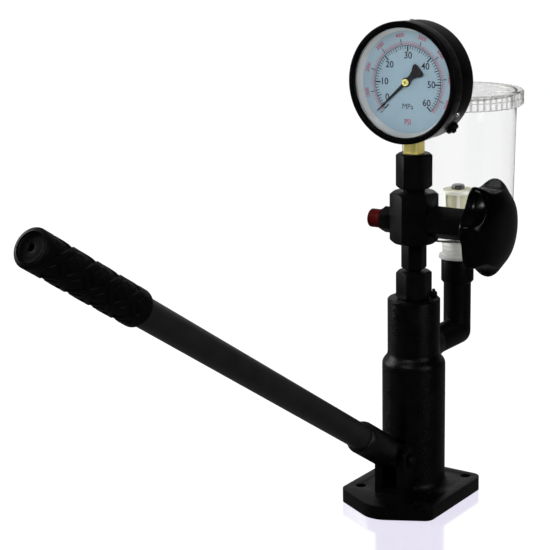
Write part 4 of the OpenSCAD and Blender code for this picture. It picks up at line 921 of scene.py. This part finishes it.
# White floor and background that also show in gloss and glass
stageLook = {
    "floorSize": 12.0,
    "floorZ": -0.0002,                      # just under the base
    "floorGlow": (0.74, 0.71, 0.84),        # the floor's own white to the camera
    "floorMirror": (0.7, 0.77, 0.45),       # faint mirror, which leaves the reflection lilac
    "mirrorRough": 0.13,
    "floorChalk": 0.07,                     # the part that takes the lamps and the shadow
    "glossFloor": 0.1,                      # pale floor as gloss sees it
    "worldGrey": 0.12,                      # light from all round
    "whiteSide": (-0.55, 0.75, 0.37),       # towards the white backdrop, seen in gloss
    "whiteGloss": 0.4,
    "whiteEdge": (0.35, 0.95),              # how squarely it is faced where white starts and is full
    "darkGloss": 0.02,                      # the room on the camera's side
}


def lightPath(tree, *names):
    path = tree.nodes.new("ShaderNodeLightPath")
    value = path.outputs[names[0]]
    for name in names[1:]:
        value = maths(tree, "MAXIMUM", value, path.outputs[name])
    return value


def addUp(tree, first, second):
    node = tree.nodes.new("ShaderNodeAddShader")
    tree.links.new(first, node.inputs[0])
    tree.links.new(second, node.inputs[1])
    return node.outputs["Shader"]


def glowing(tree, colour):
    node = tree.nodes.new("ShaderNodeEmission")
    node.inputs["Color"].default_value = (*colour, 1)
    return node.outputs["Emission"]


def pickShader(tree, share, first, second):
    node = tree.nodes.new("ShaderNodeMixShader")
    tree.links.new(share, node.inputs[0])
    tree.links.new(first, node.inputs[1])
    tree.links.new(second, node.inputs[2])
    return node.outputs["Shader"]


def makeFloor(look):
    bpy.ops.object.select_all(action="DESELECT")
    bpy.ops.mesh.primitive_plane_add(size=look["floorSize"], location=(0, 0, look["floorZ"]))
    floor = bpy.context.active_object
    floor.name = "floor"
    finish, tree, shader = newFinish("whiteFloor")
    tree.nodes.remove(shader)
    chalk = tree.nodes.new("ShaderNodeBsdfDiffuse")
    chalk.inputs["Color"].default_value = (look["floorChalk"],) * 3 + (1,)
    mirror = tree.nodes.new("ShaderNodeBsdfGlossy")
    mirror.inputs["Color"].default_value = (*look["floorMirror"], 1)
    mirror.inputs["Roughness"].default_value = look["mirrorRough"]
    polished = addUp(tree, chalk.outputs["BSDF"], mirror.outputs["BSDF"])
    seen = addUp(tree, polished, glowing(tree, look["floorGlow"]))
    inGloss = addUp(tree, chalk.outputs["BSDF"], glowing(tree, (look["glossFloor"],) * 3))
    unseen = pickShader(tree, lightPath(tree, "Is Glossy Ray"), chalk.outputs["BSDF"], inGloss)
    direct = lightPath(tree, "Is Camera Ray", "Is Transmission Ray")
    tree.links.new(pickShader(tree, direct, unseen, seen), tree.nodes["Material Output"].inputs["Surface"])
    floor.data.materials.append(finish)


def makeWorld(look):
    world = bpy.data.worlds.new("studio")
    world.use_nodes = True
    bpy.context.scene.world = world
    tree = world.node_tree
    facing = tree.nodes.new("ShaderNodeVectorMath")
    facing.operation = "DOT_PRODUCT"
    facing.inputs[1].default_value = look["whiteSide"]
    wire(tree, tree.nodes.new("ShaderNodeTexCoord"), "Generated", facing, 0)
    pale = spread(tree, facing.outputs["Value"], look["darkGloss"], look["whiteGloss"], *look["whiteEdge"])
    around = blendColour(tree, lightPath(tree, "Is Glossy Ray"), (look["worldGrey"],) * 3, pale)
    direct = lightPath(tree, "Is Camera Ray", "Is Transmission Ray")
    tree.links.new(blendColour(tree, direct, around, (1, 1, 1)), tree.nodes["Background"].inputs["Color"])


makeFloor(stageLook)
makeWorld(stageLook)

lamps = {
    "leftBox": {"place": (-1.35, -0.35, 0.65), "aim": (0, 0, 0.2), "size": (0.5, 1.0), "power": 24},
    "rightBox": {"place": (1.5, -0.4, 0.6), "aim": (0, 0, 0.2), "size": (0.4, 0.9), "power": 9},
    "topBox": {"place": (-0.2, 0.6, 1.8), "aim": (0, 0, 0.2), "size": (0.8, 0.6), "power": 5},
    "frontBox": {"place": (0.1, -1.9, 1.5), "aim": (0, 0, 0.3), "size": (0.45, 0.35), "power": 20},
}


def makeLamps(lamps):
    for name, lamp in lamps.items():
        data = bpy.data.lights.new(name, "AREA")
        data.shape = "RECTANGLE"
        data.size, data.size_y = lamp["size"]
        data.energy = lamp["power"]
        box = bpy.data.objects.new(name, data)
        bpy.context.scene.collection.objects.link(box)
        box.location = lamp["place"]
        aim = Vector(lamp["aim"]) - Vector(lamp["place"])
        box.rotation_euler = aim.to_track_quat("-Z", "Y").to_euler()


makeLamps(lamps)
bpy.context.scene.view_settings.view_transform = "Standard"
print("stage and lamps set")
